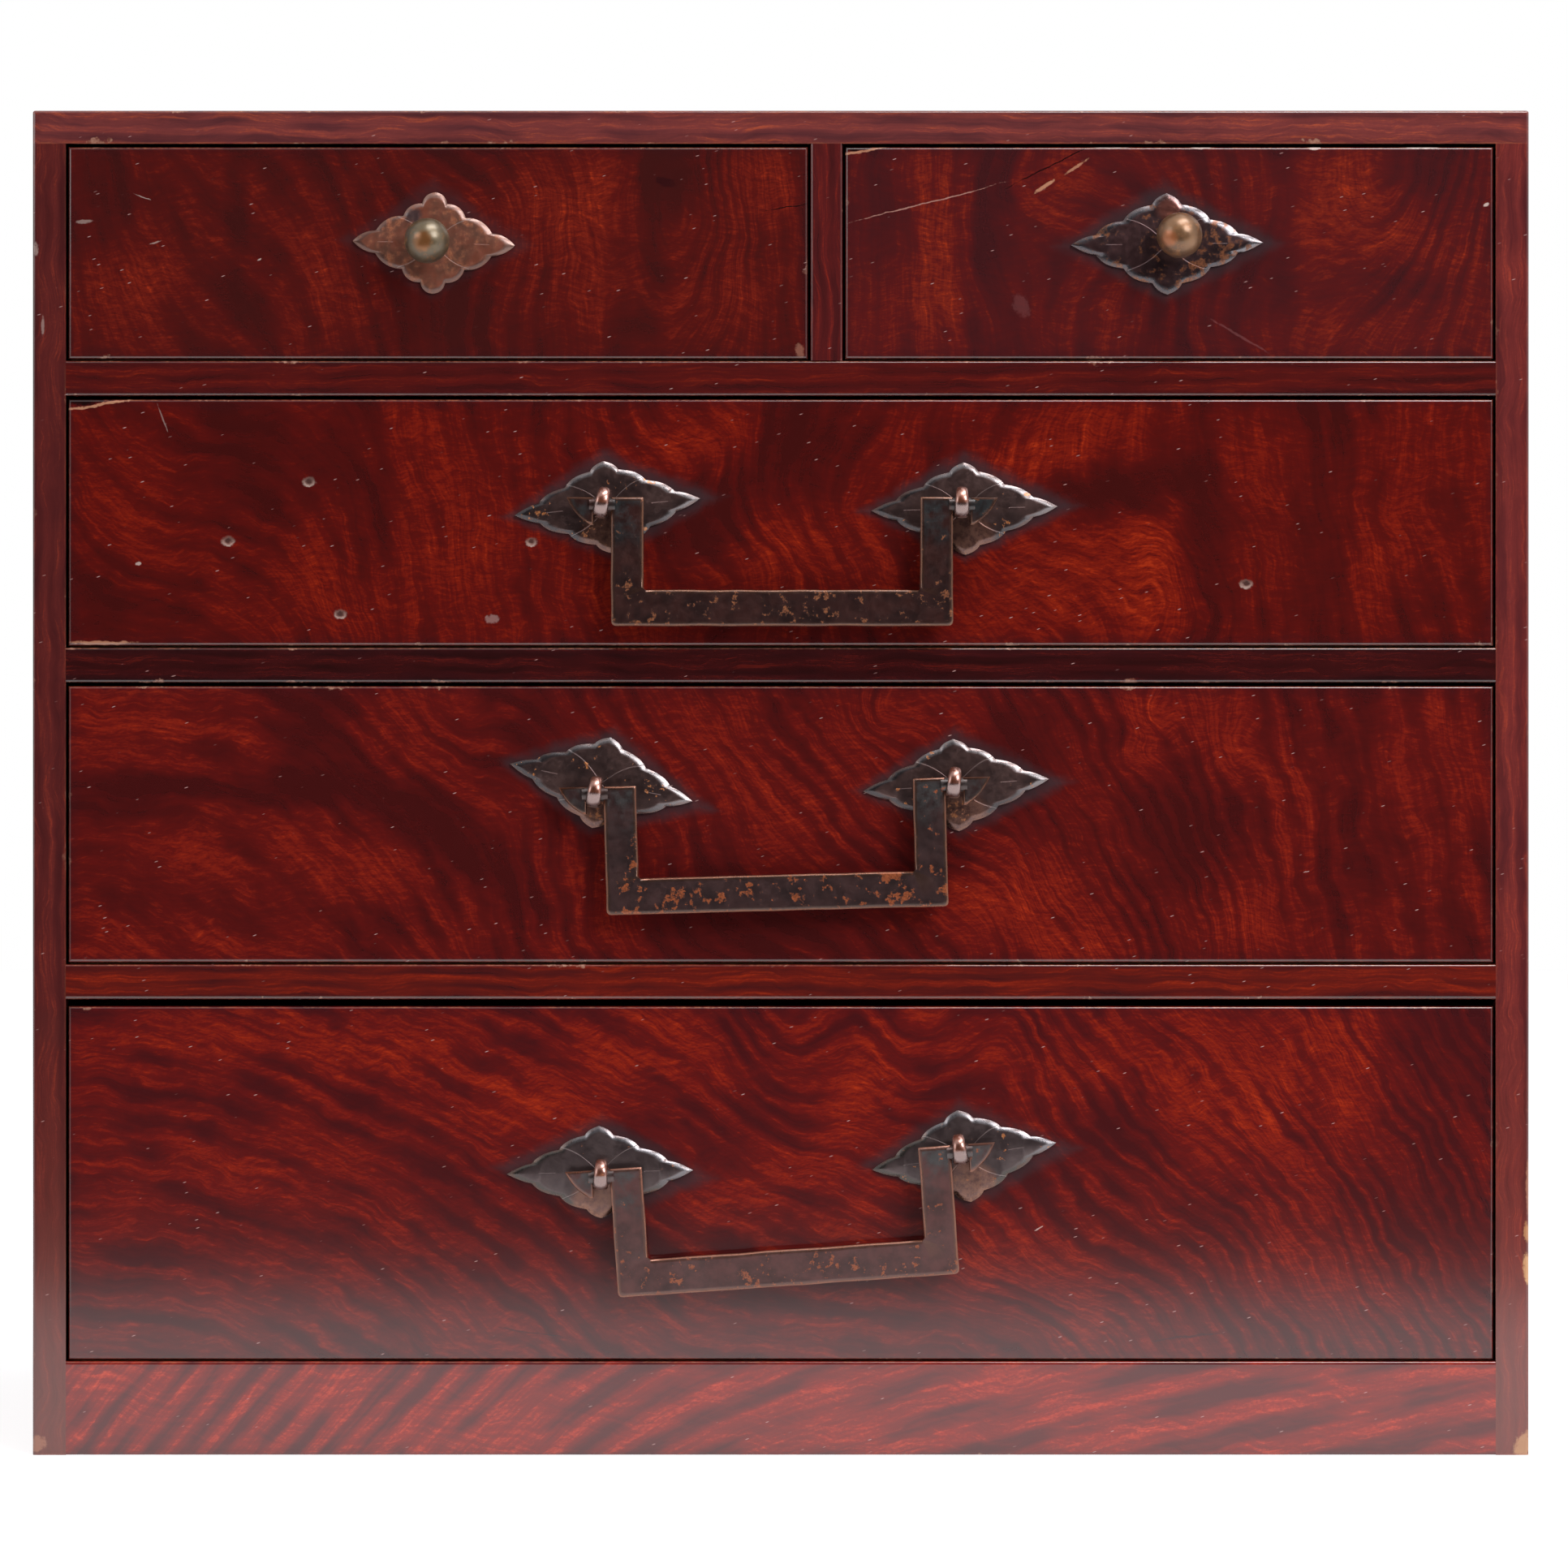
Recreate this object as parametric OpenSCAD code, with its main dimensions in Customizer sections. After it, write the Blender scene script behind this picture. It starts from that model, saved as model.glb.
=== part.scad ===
// Sewing box: a small lacquered chest with two knobbed drawers above
// three full-width drawers that are pulled by square bails.
// X runs to the right, Y from the front to the back and Z up, in millimetres.

/* [Case] */
// Width over the two side boards
case_w = 360; // [300:1:440]
// Depth from the front edges to the back
case_d = 240; // [200:1:300]
// Height from the floor to the top
case_h = 323.5; // [305:0.5:360]
// Thickness of the side boards
side_t = 8; // [7:0.5:12]
// Thickness of the top board
top_t = 8; // [7:0.5:12]
// Height of the rail at the foot of the front
base_h = 22.6; // [16:0.2:40]
// Depth of that rail from front to back
base_d = 22; // [16:1:30]
// Height of the rails between the drawers
rail_h = 8.5; // [7.5:0.5:14]
// Depth of those rails from front to back
rail_d = 30; // [24:1:40]
// Thickness of the boards that the drawers run on
shelf_t = 6; // [5:0.5:7]
// Thickness of the back board
back_t = 6; // [4:0.5:8]
// Width of the upright between the two upper drawers
stile_w = 7.8; // [7:0.2:12]
// Distance of that upright from the middle, to the right
stile_off = 11; // [-40:1:40]
// Thickness of the board behind the upright
divider_t = 6; // [4:0.5:7]
// Radius of the eased edges of every show board
ease_r = 0.8; // [0.4:0.1:1.5]

/* [Drawer openings] */
// Height of the opening of the two upper drawers
upper_bay_h = 52.2; // [44:0.1:70]
// Height of the opening of the second drawer
second_bay_h = 60.5; // [56:0.1:80]
// Height of the opening of the third drawer
third_bay_h = 67.7; // [60:0.1:90]

/* [Drawers] */
// Thickness of a drawer front
front_t = 12; // [10:0.5:16]
// Depth of the rabbets behind a drawer front
rabbet_d = 7; // [5:0.5:8]
// Thickness of the sides of a drawer
box_side_t = 6; // [5:0.5:8]
// Thickness of the back of a drawer
box_back_t = 6; // [5:0.5:8]
// Thickness of the bottom of a drawer
box_bottom_t = 5; // [4:0.5:7]
// Gap at each end of a drawer front
gap_side = 0.6; // [0.4:0.1:1]
// Gap under a drawer front
gap_below = 0.4; // [0.2:0.1:0.8]
// Gap over a drawer front
gap_above = 0.8; // [0.5:0.05:1.5]
// Gap over the front of the lowest drawer, which has worn down
gap_above_lowest = 1.65; // [0.5:0.05:2]
// Height that the box behind a front leaves free above it
box_clear = 1.8; // [1:0.1:4]
// Gap between a closed drawer and the back board
back_gap = 0.5; // [0.3:0.1:3]

/* [Joinery] */
// Length of the stub tenons
tenon_l = 4; // [2:0.5:5]
// Shoulder left on each face of a tenon
shoulder = 2; // [1:0.25:2.5]
// Distance of a tenon from the front and back faces of its rail
tenon_set = 4; // [3:0.5:6]
// Width of each tenon along the top of the sides
side_tenon_w = 24; // [16:1:36]
// Depth of the grooves that hold shelves and the divider
dado_d = 3; // [2:0.5:4]
// Thickness of the tongue along a shelf's front edge
tongue_t = 2.4; // [1.6:0.2:3]
// Width of the rabbets that hold the back board
back_lap = 4; // [3:0.5:5]
// Radius of the wooden pegs
peg_r = 1.1; // [0.8:0.1:1.3]
// Length of the wooden pegs
peg_l = 12; // [10:0.5:14]
// Clearance left all round in a glued joint
joint_fit = 0.05; // [0.02:0.01:0.1]

/* [Knobs and their plates] */
// Diameter of a knob's ball
knob_d = 10.9; // [8:0.1:14]
// Distance from the drawer front to the far side of the ball
knob_reach = 13.6; // [12:0.1:18]
// Radius of a knob's neck
knob_neck_r = 2.4; // [1.8:0.1:3]
// Radius of the collar at the foot of the neck
collar_r = 3.6; // [3:0.1:5]
// Thickness of that collar
collar_t = 0.9; // [0.5:0.1:1.5]
// Radius of the shank that goes through the drawer front
shank_r = 1.6; // [1.2:0.1:2]
// Width of the left knob plate from tip to tip
left_plate_w = 39; // [34:0.5:50]
// Height of the left knob plate
left_plate_h = 24.2; // [20:0.2:28]
// Width of the right knob plate from tip to tip
right_plate_w = 46.2; // [36:0.2:50]
// Height of the right knob plate
right_plate_h = 24.3; // [20:0.2:28]

/* [Bails, eye pins and their plates] */
// Width over the two arms of a bail
bail_w = 82; // [70:0.5:96]
// Distance from a bail's pivot down to its lower edge
bail_drop = 29.1; // [24:0.1:32]
// Thickness of a bail
bail_t = 2.5; // [2:0.1:3]
// Width of a bail's arms
arm_w = 7.8; // [5:0.1:10]
// Height of a bail's lower bar
bar_h = 8.6; // [5:0.1:10]
// Height of an arm above the pivot
arm_rise = 1.75; // [1.75:0.05:2.5]
// Radius of the necks that turn in the eye pins
neck_r = 1.75; // [1.3:0.05:2]
// Length of the pointed end beyond an eye pin
tip_l = 6.5; // [4:0.1:9]
// Height of that pointed end
tip_h = 6.6; // [4:0.1:7]
// Outer radius of the eye of a pin
eye_r = 3.8; // [3.6:0.1:4.5]
// Thickness of the strap that an eye pin is bent from
strap_t = 1.45; // [1.2:0.05:1.6]
// Width of that strap
strap_w = 3.8; // [3:0.1:5]
// Thickness of each leg of an eye pin, drawn thinner than its eye
leg_t = 1.3; // [1:0.05:1.5]
// Clearance of the legs in their slot
pin_fit = 0.15; // [0.05:0.05:0.3]
// Length of the clinched ends behind a drawer front
clinch_l = 8; // [5:0.5:10]
// Side play of an eye pin between a bail's arm and its pointed end
side_play = 0.2; // [0.1:0.05:0.4]
// Running clearance of a bail's neck in its eye
neck_fit = 0.05; // [0.03:0.01:0.1]
// Width of a bail plate from tip to tip
bail_plate_w = 44.8; // [36:0.2:50]
// Height of a bail plate
bail_plate_h = 22.2; // [18:0.2:26]
// Thickness of every plate
plate_t = 1.2; // [0.8:0.1:1.6]
// Width of the bevelled rim of every plate
plate_rim = 0.8; // [0.4:0.1:1.2]

/* [Hidden] */
$fn = 48;
// Overlap of a cutting tool past the face that it opens
over = 1;

// Colours of the woods and metals
LACQUER = [0.42, 0.09, 0.06];
LACQUER_DARK = [0.30, 0.07, 0.06];
SOFTWOOD = [0.72, 0.58, 0.40];
PEG_WOOD = [0.82, 0.70, 0.48];
DARK_COPPER = [0.22, 0.17, 0.16];
RED_COPPER = [0.60, 0.30, 0.20];
BRONZE = [0.55, 0.42, 0.26];

// Numbers of the drawers
UPPER_LEFT = 0;
UPPER_RIGHT = 1;
SECOND = 2;
THIRD = 3;
LOWEST = 4;

// Levels of the case, from the floor up
inner_w = case_w - 2 * side_t;
lowest_z = base_h;
// The lowest drawer takes the height that the rest leaves
lowest_bay_h = case_h - top_t - base_h - 3 * rail_h - upper_bay_h - second_bay_h - third_bay_h;
rail_lower_z = lowest_z + lowest_bay_h;
third_z = rail_lower_z + rail_h;
rail_middle_z = third_z + third_bay_h;
second_z = rail_middle_z + rail_h;
rail_upper_z = second_z + second_bay_h;
upper_z = rail_upper_z + rail_h;
top_z = upper_z + upper_bay_h;
// The origin lies under the middle of the chest, its knobs included
front_y = (knob_reach - case_d) / 2;
inner_d = case_d - back_t;
// Lower edge of the back board, level with the underside of the lowest board
back_z = base_h - shelf_t;

// Openings: left edge, right edge, floor and height of each drawer's own
stile_l = stile_off - stile_w / 2;
stile_r = stile_off + stile_w / 2;
BAYS = [
    [-inner_w / 2, stile_l, upper_z, upper_bay_h],
    [stile_r, inner_w / 2, upper_z, upper_bay_h],
    [-inner_w / 2, inner_w / 2, second_z, second_bay_h],
    [-inner_w / 2, inner_w / 2, third_z, third_bay_h],
    [-inner_w / 2, inner_w / 2, lowest_z, lowest_bay_h]
];
function bay_mid_x(i) = (BAYS[i][0] + BAYS[i][1]) / 2;
function bay_mid_z(i) = BAYS[i][2] + BAYS[i][3] / 2;
function gap_over(i) = i == LOWEST ? gap_above_lowest : gap_above;
function front_w(i) = BAYS[i][1] - BAYS[i][0] - 2 * gap_side;
function front_h(i) = BAYS[i][3] - gap_below - gap_over(i);
function box_h(i) = BAYS[i][3] - box_clear;
box_len = inner_d - back_gap;
rabbet_y = front_t - rabbet_d;

// Hand-set knobs: place from the middle of the drawer's opening, and the
// place of the plate's middle from the knob with the plate's turn
KNOB_AT = [[-2.2, 2.1], [2, 3.4]];
KNOB_PLATE = [[1.2, 0, -1.5], [-2.6, -1.5, 0.7]];
// Hand-set bails: place of the pivot from the middle of the opening, and
// the tilt of the bail, for the second, third and lowest drawers
BAIL_AT = [[0.3, 3.9, 0], [-1.5, 8.2, 1.5], [-0.1, 4.1, 4]];
// Place of each bail plate's middle from its eye, with the plate's turn
BAIL_PLATES = [
    [[1.1, -0.4, 5.2], [0.8, -0.8, 1.4]],
    [[1.5, 2.7, -13], [0.6, -0.1, 2.3]],
    [[-0.3, 0.95, -2.8], [1.1, -1.35, 4.5]]
];

// Eye pin and bail
eye_in_r = eye_r - strap_t;
eye_reach = plate_t + eye_r;
// The neck rests on the lowest point of its eye
neck_sag = eye_in_r - neck_r - neck_fit;
neck_l = strap_w + 2 * side_play;
eye_x = (bail_w + neck_l) / 2;
tip_x = bail_w / 2 + neck_l;
// Radius of a bail's outer corners, width of the chamfers along its edges,
// and the bow of its pointed ends
bail_corner_r = 1.4;
bail_chamfer = 0.4;
tip_bow = 0.9;

// One side of a flower-diamond plate, from a short tip to a long tip:
// shares of the side at which its three cusps lie
CUSP_AT = [0.16, 0.43, 0.72];
// How far each cusp lies inside the straight side, and how far each of the
// four lobes bows out, on the bail plates
BAIL_CUSPS = [0.8, 1.05, 1.1];
BAIL_BOWS = [0.25, 0.7, 0.75, 0.3];
// The same for the upper right knob's plate
POINTED_CUSPS = [1.2, 1.1, 1.25];
POINTED_BOWS = [0.3, 1.2, 1.15, 0.4];
// The same for the rounder plate of the upper left drawer
ROUND_CUSPS = [1, 1.2, 1.15];
ROUND_BOWS = [0.65, 1.5, 1.45, 0.85];
LOBE_STEPS = 4;
// Lines cut into a plate from its middle towards its mid-side cusps: the
// shares of the way at which they begin and end, their width and their depth
LINE_FROM = 0.38;
LINE_TO = 0.86;
LINE_W = 0.5;
LINE_DEPTH = 0.2;

// Shares of the depth at which the tenons along the top of a side lie
SIDE_TENON_ROW = [0.2, 0.5, 0.8];
// Shares of an edge at which the pegs lie: along a shelf, up a side, and in
// a drawer's joints
BACK_PEG_ROW = [0.06, 0.35, 0.65, 0.94];
BACK_PEG_COLUMN = [0.08, 0.3, 0.5, 0.7, 0.92];
PEG_PAIR = [0.22, 0.78];

// Places everything measured from the front of the case
module placed() {
    translate([0, front_y, 0])
        children();
}

// Runs a profile drawn in Y and Z along X
module along_x(len) {
    rotate([90, 0, 90])
        linear_extrude(len)
            children();
}

// A box given by its lowest and its highest corner
module block(low, high) {
    translate(low)
        cube(high - low);
}

// The waste that rounding takes off a corner at the origin
module ease_waste(r) {
    difference() {
        translate([-over, -over])
            square(r + over);
        translate([r, r])
            circle(r);
    }
}

// A rectangle whose chosen corners are rounded: near left, near right,
// far right and far left
module eased(w, h, r, corners) {
    places = [[0, 0], [w, 0], [w, h], [0, h]];
    difference() {
        square([w, h]);
        for (i = [0:3]) {
            if (corners[i] == 1) {
                translate(places[i])
                    rotate(90 * i)
                        ease_waste(r);
            }
        }
    }
}

// A board whose four front edges are rounded, with its face at y = 0
module eased_front(w, t, h) {
    intersection() {
        along_x(w)
            eased(t, h, ease_r, [1, 0, 0, 1]);
        linear_extrude(h)
            eased(w, t, ease_r, [1, 1, 0, 0]);
    }
}

// Points of a lobe from p to q that bows out by rise, without q
function lobe(p, q, rise) =
    let (d = q - p, out = [-d[1], d[0]] / norm(d))
    [for (k = [0:LOBE_STEPS - 1])
        let (s = k / LOBE_STEPS)
        p + d * s + out * 4 * rise * s * (1 - s)];

// Corners of one side: its short tip, its three cusps and its long tip
function side_corners(a, c, cusps) =
    let (
        p = [0, c],
        d = [a, -c],
        out = [c, a] / norm([a, c]),
        mid = [for (k = [0:2]) p + d * CUSP_AT[k] - out * cusps[k]]
    )
    concat([p], mid, [[a, 0]]);

// One side of a plate as points, from its short tip to its long tip
function plate_side(a, c, cusps, bows) =
    let (pts = side_corners(a, c, cusps))
    [for (k = [0:3]) each lobe(pts[k], pts[k + 1], bows[k])];

function flip(pts, sx, sy) = [for (p = pts) [p[0] * sx, p[1] * sy]];
function backwards(pts) = [for (k = [len(pts) - 1:-1:0]) pts[k]];

// Outline of a flower-diamond plate, from its four mirrored sides
function plate_outline(w, h, cusps, bows) =
    let (
        side = plate_side(w / 2, h / 2, cusps, bows),
        tip = [[w / 2, 0]],
        right_up = side,
        right_down = backwards(flip(side, 1, -1)),
        left_down = flip(side, -1, -1),
        left_up = backwards(flip(side, -1, 1))
    )
    concat(right_up, tip, right_down, [for (k = [1:len(side) - 1]) left_down[k]],
        flip(tip, -1, 1), [for (k = [0:len(side) - 2]) left_up[k]]);

// The four cut lines that part the petals on a plate's face
module petal_lines(w, h, cusps) {
    end = side_corners(w / 2, h / 2, cusps)[2];
    reach = norm(end);
    turn = atan2(end[1], end[0]);
    for (sx = [0, 1]) {
        for (sz = [0, 1]) {
            mirror([sx, 0, 0])
                mirror([0, 0, sz])
                    rotate([0, -turn, 0])
                        translate([LINE_FROM * reach, -plate_t, 0])
                            along_x((LINE_TO - LINE_FROM) * reach)
                                polygon([[-over, -LINE_W / 2], [LINE_DEPTH, 0], [-over, LINE_W / 2]]);
        }
    }
}

// A plate with a bevelled rim and cut petals, its back at y = 0 and its
// face towards -Y
module plate_solid(w, h, cusps, bows) {
    inset = 1 - plate_rim * norm([w, h]) / (w * h) * 2;
    difference() {
        rotate([90, 0, 0])
            linear_extrude(height = plate_t, scale = inset)
                polygon(plate_outline(w, h, cusps, bows));
        petal_lines(w, h, cusps);
    }
}

// Round pegs along Y that end flush with the face at y = 0
module peg_y(r) {
    rotate([90, 0, 0])
        cylinder(h = peg_l, r = r);
}

// All the pegs of the back board, at radius r
module back_peg_set(r) {
    lap_x = inner_w / 2 + back_lap / 2;
    shelf_mids = [
        base_h - shelf_t / 2, third_z - shelf_t / 2,
        second_z - shelf_t / 2, upper_z - shelf_t / 2
    ];
    span = inner_w - 2 * dado_d;
    for (z = shelf_mids) {
        for (f = BACK_PEG_ROW) {
            translate([(f - 0.5) * span, case_d, z])
                peg_y(r);
        }
    }
    for (f = BACK_PEG_ROW) {
        translate([(f - 0.5) * span, case_d, top_z + back_lap / 2])
            peg_y(r);
    }
    for (x = [-lap_x, lap_x]) {
        for (f = BACK_PEG_COLUMN) {
            translate([x, case_d, back_z + f * (top_z - back_z)])
                peg_y(r);
        }
    }
}

// Mortise or tenon of a rail in the right-hand side, its low corner at z0
module rail_end(z0, h, d, fit) {
    block(
        [inner_w / 2 - over, tenon_set - fit, z0 + shoulder - fit],
        [inner_w / 2 + tenon_l - joint_fit + fit, d - tenon_set + fit, z0 + h - shoulder + fit]
    );
}

// Tenons along the top of the right-hand side, or their mortises
module side_tenons(fit) {
    thick = side_t - 2 * shoulder;
    for (f = SIDE_TENON_ROW) {
        near = f * inner_d - side_tenon_w / 2;
        block(
            [inner_w / 2 + shoulder - fit, near - fit, top_z - over],
            [inner_w / 2 + shoulder + thick + fit, near + side_tenon_w + fit, top_z + tenon_l + fit]
        );
    }
}

// Groove in the right-hand side for a board that ends at height z
module shelf_dado(z, d) {
    block(
        [inner_w / 2 - over, d, z - shelf_t - joint_fit],
        [inner_w / 2 + dado_d + joint_fit, inner_d + over, z]
    );
}

// The right-hand side board; the left one is its mirror image
module side_board() {
    difference() {
        union() {
            translate([inner_w / 2, 0, 0])
                linear_extrude(top_z)
                    eased(side_t, case_d, ease_r, [0, 1, 1, 0]);
            side_tenons(-joint_fit);
        }
        rail_end(0, base_h, base_d, joint_fit);
        rail_end(rail_lower_z, rail_h, rail_d, joint_fit);
        rail_end(rail_middle_z, rail_h, rail_d, joint_fit);
        rail_end(rail_upper_z, rail_h, rail_d, joint_fit);
        shelf_dado(base_h, base_d);
        shelf_dado(third_z, rail_d);
        shelf_dado(second_z, rail_d);
        shelf_dado(upper_z, rail_d);
        block(
            [inner_w / 2 - over, inner_d, back_z],
            [inner_w / 2 + back_lap, case_d + over, top_z + over]
        );
        back_peg_set(peg_r + joint_fit);
    }
}

// Tongue of a shelf at the height z of its top, or its groove in a rail
module shelf_tongue(z, d, fit) {
    mid = z - shelf_t / 2;
    block(
        [-inner_w / 2 + dado_d - fit, d - dado_d - fit, mid - tongue_t / 2 - fit],
        [inner_w / 2 - dado_d + fit, d + over, mid + tongue_t / 2 + fit]
    );
}

// A rail between the sides, with a stub tenon at each end, whose top is at
// height z and which holds a shelf in its back edge
module rail(z, h, d) {
    difference() {
        union() {
            translate([-inner_w / 2, 0, z - h])
                along_x(inner_w)
                    eased(d, h, ease_r, [1, 0, 0, 1]);
            for (side = [0, 1]) {
                mirror([side, 0, 0])
                    rail_end(z - h, h, d, -joint_fit);
            }
        }
        shelf_tongue(z, d, joint_fit);
    }
}

// A board behind a rail, let into both sides, whose top is at height z
module shelf(z, d) {
    reach = inner_w / 2 + dado_d;
    difference() {
        union() {
            block([-reach, d, z - shelf_t], [reach, inner_d, z]);
            shelf_tongue(z, d, -joint_fit);
        }
        back_peg_set(peg_r + joint_fit);
    }
}

// Groove over or under the divider, from height z0 to z1
module divider_groove(z0, z1) {
    half = divider_t / 2 + joint_fit;
    block([stile_off - half, rail_d, z0], [stile_off + half, inner_d + over, z1]);
}

// Tenons at both ends of the stile, or their mortises
module stile_tenons(fit) {
    half = stile_w / 2 - shoulder;
    block(
        [stile_off - half - fit, tenon_set - fit, upper_z - dado_d + joint_fit - fit],
        [stile_off + half + fit, rail_d - tenon_set + fit, top_z + dado_d - joint_fit + fit]
    );
}

module top_panel() {
    color(LACQUER)
        placed()
            difference() {
                translate([-case_w / 2, 0, top_z])
                    intersection() {
                        along_x(case_w)
                            eased(case_d, top_t, ease_r, [0, 0, 1, 1]);
                        translate([0, case_d, 0])
                            rotate([90, 0, 0])
                                linear_extrude(case_d)
                                    eased(case_w, top_t, ease_r, [0, 0, 1, 1]);
                        linear_extrude(top_t)
                            eased(case_w, case_d, ease_r, [1, 1, 1, 1]);
                    }
                for (side = [0, 1]) {
                    mirror([side, 0, 0])
                        side_tenons(joint_fit);
                }
                block(
                    [-inner_w / 2 - back_lap, inner_d, top_z - over],
                    [inner_w / 2 + back_lap, case_d + over, top_z + back_lap]
                );
                divider_groove(top_z - over, top_z + dado_d);
                stile_tenons(joint_fit);
                back_peg_set(peg_r + joint_fit);
            }
}

module side_left() {
    color(LACQUER)
        placed()
            mirror([1, 0, 0])
                side_board();
}

module side_right() {
    color(LACQUER)
        placed()
            side_board();
}

module back_panel() {
    reach = inner_w / 2 + back_lap - joint_fit;
    color(SOFTWOOD)
        placed()
            difference() {
                block([-reach, inner_d, back_z], [reach, case_d, top_z + back_lap - joint_fit]);
                back_peg_set(peg_r + joint_fit);
            }
}

module bottom_panel() {
    color(SOFTWOOD)
        placed()
            shelf(base_h, base_d);
}

module base_rail() {
    color(LACQUER)
        placed()
            rail(base_h, base_h, base_d);
}

module rail_lower() {
    color(LACQUER_DARK)
        placed()
            rail(third_z, rail_h, rail_d);
}

module rail_middle() {
    color(LACQUER_DARK)
        placed()
            rail(second_z, rail_h, rail_d);
}

module rail_upper() {
    color(LACQUER_DARK)
        placed()
            difference() {
                rail(upper_z, rail_h, rail_d);
                stile_tenons(joint_fit);
            }
}

module shelf_lower() {
    color(SOFTWOOD)
        placed()
            shelf(third_z, rail_d);
}

module shelf_middle() {
    color(SOFTWOOD)
        placed()
            shelf(second_z, rail_d);
}

module shelf_upper() {
    color(SOFTWOOD)
        placed()
            difference() {
                shelf(upper_z, rail_d);
                divider_groove(upper_z - dado_d, upper_z + over);
            }
}

module stile() {
    color(LACQUER)
        placed()
            union() {
                translate([stile_l, 0, upper_z])
                    linear_extrude(upper_bay_h)
                        eased(stile_w, rail_d, ease_r, [1, 1, 0, 0]);
                stile_tenons(-joint_fit);
            }
}

module divider() {
    color(SOFTWOOD)
        placed()
            difference() {
                block(
                    [stile_off - divider_t / 2, rail_d, upper_z - dado_d],
                    [stile_off + divider_t / 2, inner_d, top_z + dado_d]
                );
                back_peg_set(peg_r + joint_fit);
            }
}

module case_pegs() {
    color(PEG_WOOD)
        placed()
            back_peg_set(peg_r);
}

// Moves a drawer's piece, drawn from its front's lower left corner, into
// the opening of drawer i
module in_bay(i) {
    translate([BAYS[i][0] + gap_side, front_y, BAYS[i][2]])
        children();
}

// The pegs of drawer i at radius r: through the sides into the front and
// the back, and up through the bottom into the sides
module drawer_peg_set(i, r) {
    rise = box_h(i) - box_bottom_t;
    for (f = PEG_PAIR) {
        for (y = [rabbet_y + rabbet_d / 2, box_len - box_back_t / 2]) {
            translate([0, y, box_bottom_t + f * rise])
                rotate([0, 90, 0])
                    cylinder(h = peg_l, r = r);
            translate([front_w(i) - peg_l, y, box_bottom_t + f * rise])
                rotate([0, 90, 0])
                    cylinder(h = peg_l, r = r);
        }
        for (x = [box_side_t / 2, front_w(i) - box_side_t / 2]) {
            translate([x, rabbet_y + f * (box_len - rabbet_y), 0])
                cylinder(h = peg_l, r = r);
        }
    }
}

// A drawer front with its rabbets for the sides and the bottom; children
// are the passages of its pull, in the frame of the whole chest
module drawer_front(i) {
    w = front_w(i);
    difference() {
        in_bay(i)
            difference() {
                translate([0, 0, gap_below])
                    eased_front(w, front_t, front_h(i));
                block([-over, rabbet_y, -over], [w + over, front_t + over, box_bottom_t]);
                block([-over, rabbet_y, -over], [box_side_t, front_t + over, BAYS[i][3]]);
                block([w - box_side_t, rabbet_y, -over], [w + over, front_t + over, BAYS[i][3]]);
                drawer_peg_set(i, peg_r + joint_fit);
            }
        children();
    }
}

// A side of drawer i whose left face is at x
module drawer_side(i, x) {
    in_bay(i)
        difference() {
            block([x, rabbet_y, box_bottom_t], [x + box_side_t, box_len, box_h(i)]);
            drawer_peg_set(i, peg_r + joint_fit);
        }
}

module drawer_back(i) {
    in_bay(i)
        difference() {
            block(
                [box_side_t, box_len - box_back_t, box_bottom_t],
                [front_w(i) - box_side_t, box_len, box_h(i)]
            );
            drawer_peg_set(i, peg_r + joint_fit);
        }
}

module drawer_bottom(i) {
    in_bay(i)
        difference() {
            block([0, rabbet_y, 0], [front_w(i), box_len, box_bottom_t]);
            drawer_peg_set(i, peg_r + joint_fit);
        }
}

module drawer_pegs(i) {
    in_bay(i)
        drawer_peg_set(i, peg_r);
}

// Moves a knob's piece, drawn on the drawer face, to the knob of drawer i
module at_knob(i) {
    translate([bay_mid_x(i) + KNOB_AT[i][0], front_y, bay_mid_z(i) + KNOB_AT[i][1]])
        children();
}

// The round passage of a knob's shank through plate and front
module knob_passage(i) {
    at_knob(i)
        translate([0, front_t + over, 0])
            rotate([90, 0, 0])
                cylinder(h = front_t + plate_t + 2 * over, r = shank_r + joint_fit);
}

module knob_plate(i, w, h, cusps, bows) {
    set = KNOB_PLATE[i];
    difference() {
        at_knob(i)
            translate([set[0], 0, set[1]])
                rotate([0, -set[2], 0])
                    plate_solid(w, h, cusps, bows);
        knob_passage(i);
    }
}

// A ball on a collared neck; its split shank is clinched behind the front
module knob() {
    ball_r = knob_d / 2;
    rotate([90, 0, 0])
        rotate_extrude()
            intersection() {
                union() {
                    translate([0, knob_reach - ball_r])
                        circle(ball_r);
                    square([knob_neck_r, knob_reach - ball_r]);
                    square([collar_r, plate_t + collar_t]);
                }
                translate([0, plate_t])
                    square([knob_d, knob_reach]);
            }
    translate([0, front_t, 0])
        rotate([90, 0, 0])
            cylinder(h = front_t + plate_t + collar_t, r = shank_r);
    for (turn = [0, 180]) {
        rotate([0, turn, 0]) {
            block([0, front_t, -shank_r], [clinch_l - shank_r, front_t + leg_t, shank_r]);
            translate([clinch_l - shank_r, front_t + leg_t, 0])
                rotate([90, 0, 0])
                    cylinder(h = leg_t, r = shank_r);
        }
    }
}

// Moves a piece drawn about a bail's pivot, on the drawer face, into place
module at_bail(i) {
    set = BAIL_AT[i - SECOND];
    translate([bay_mid_x(i) + set[0], front_y, bay_mid_z(i) + set[1]])
        rotate([0, -set[2], 0])
            children();
}

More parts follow.
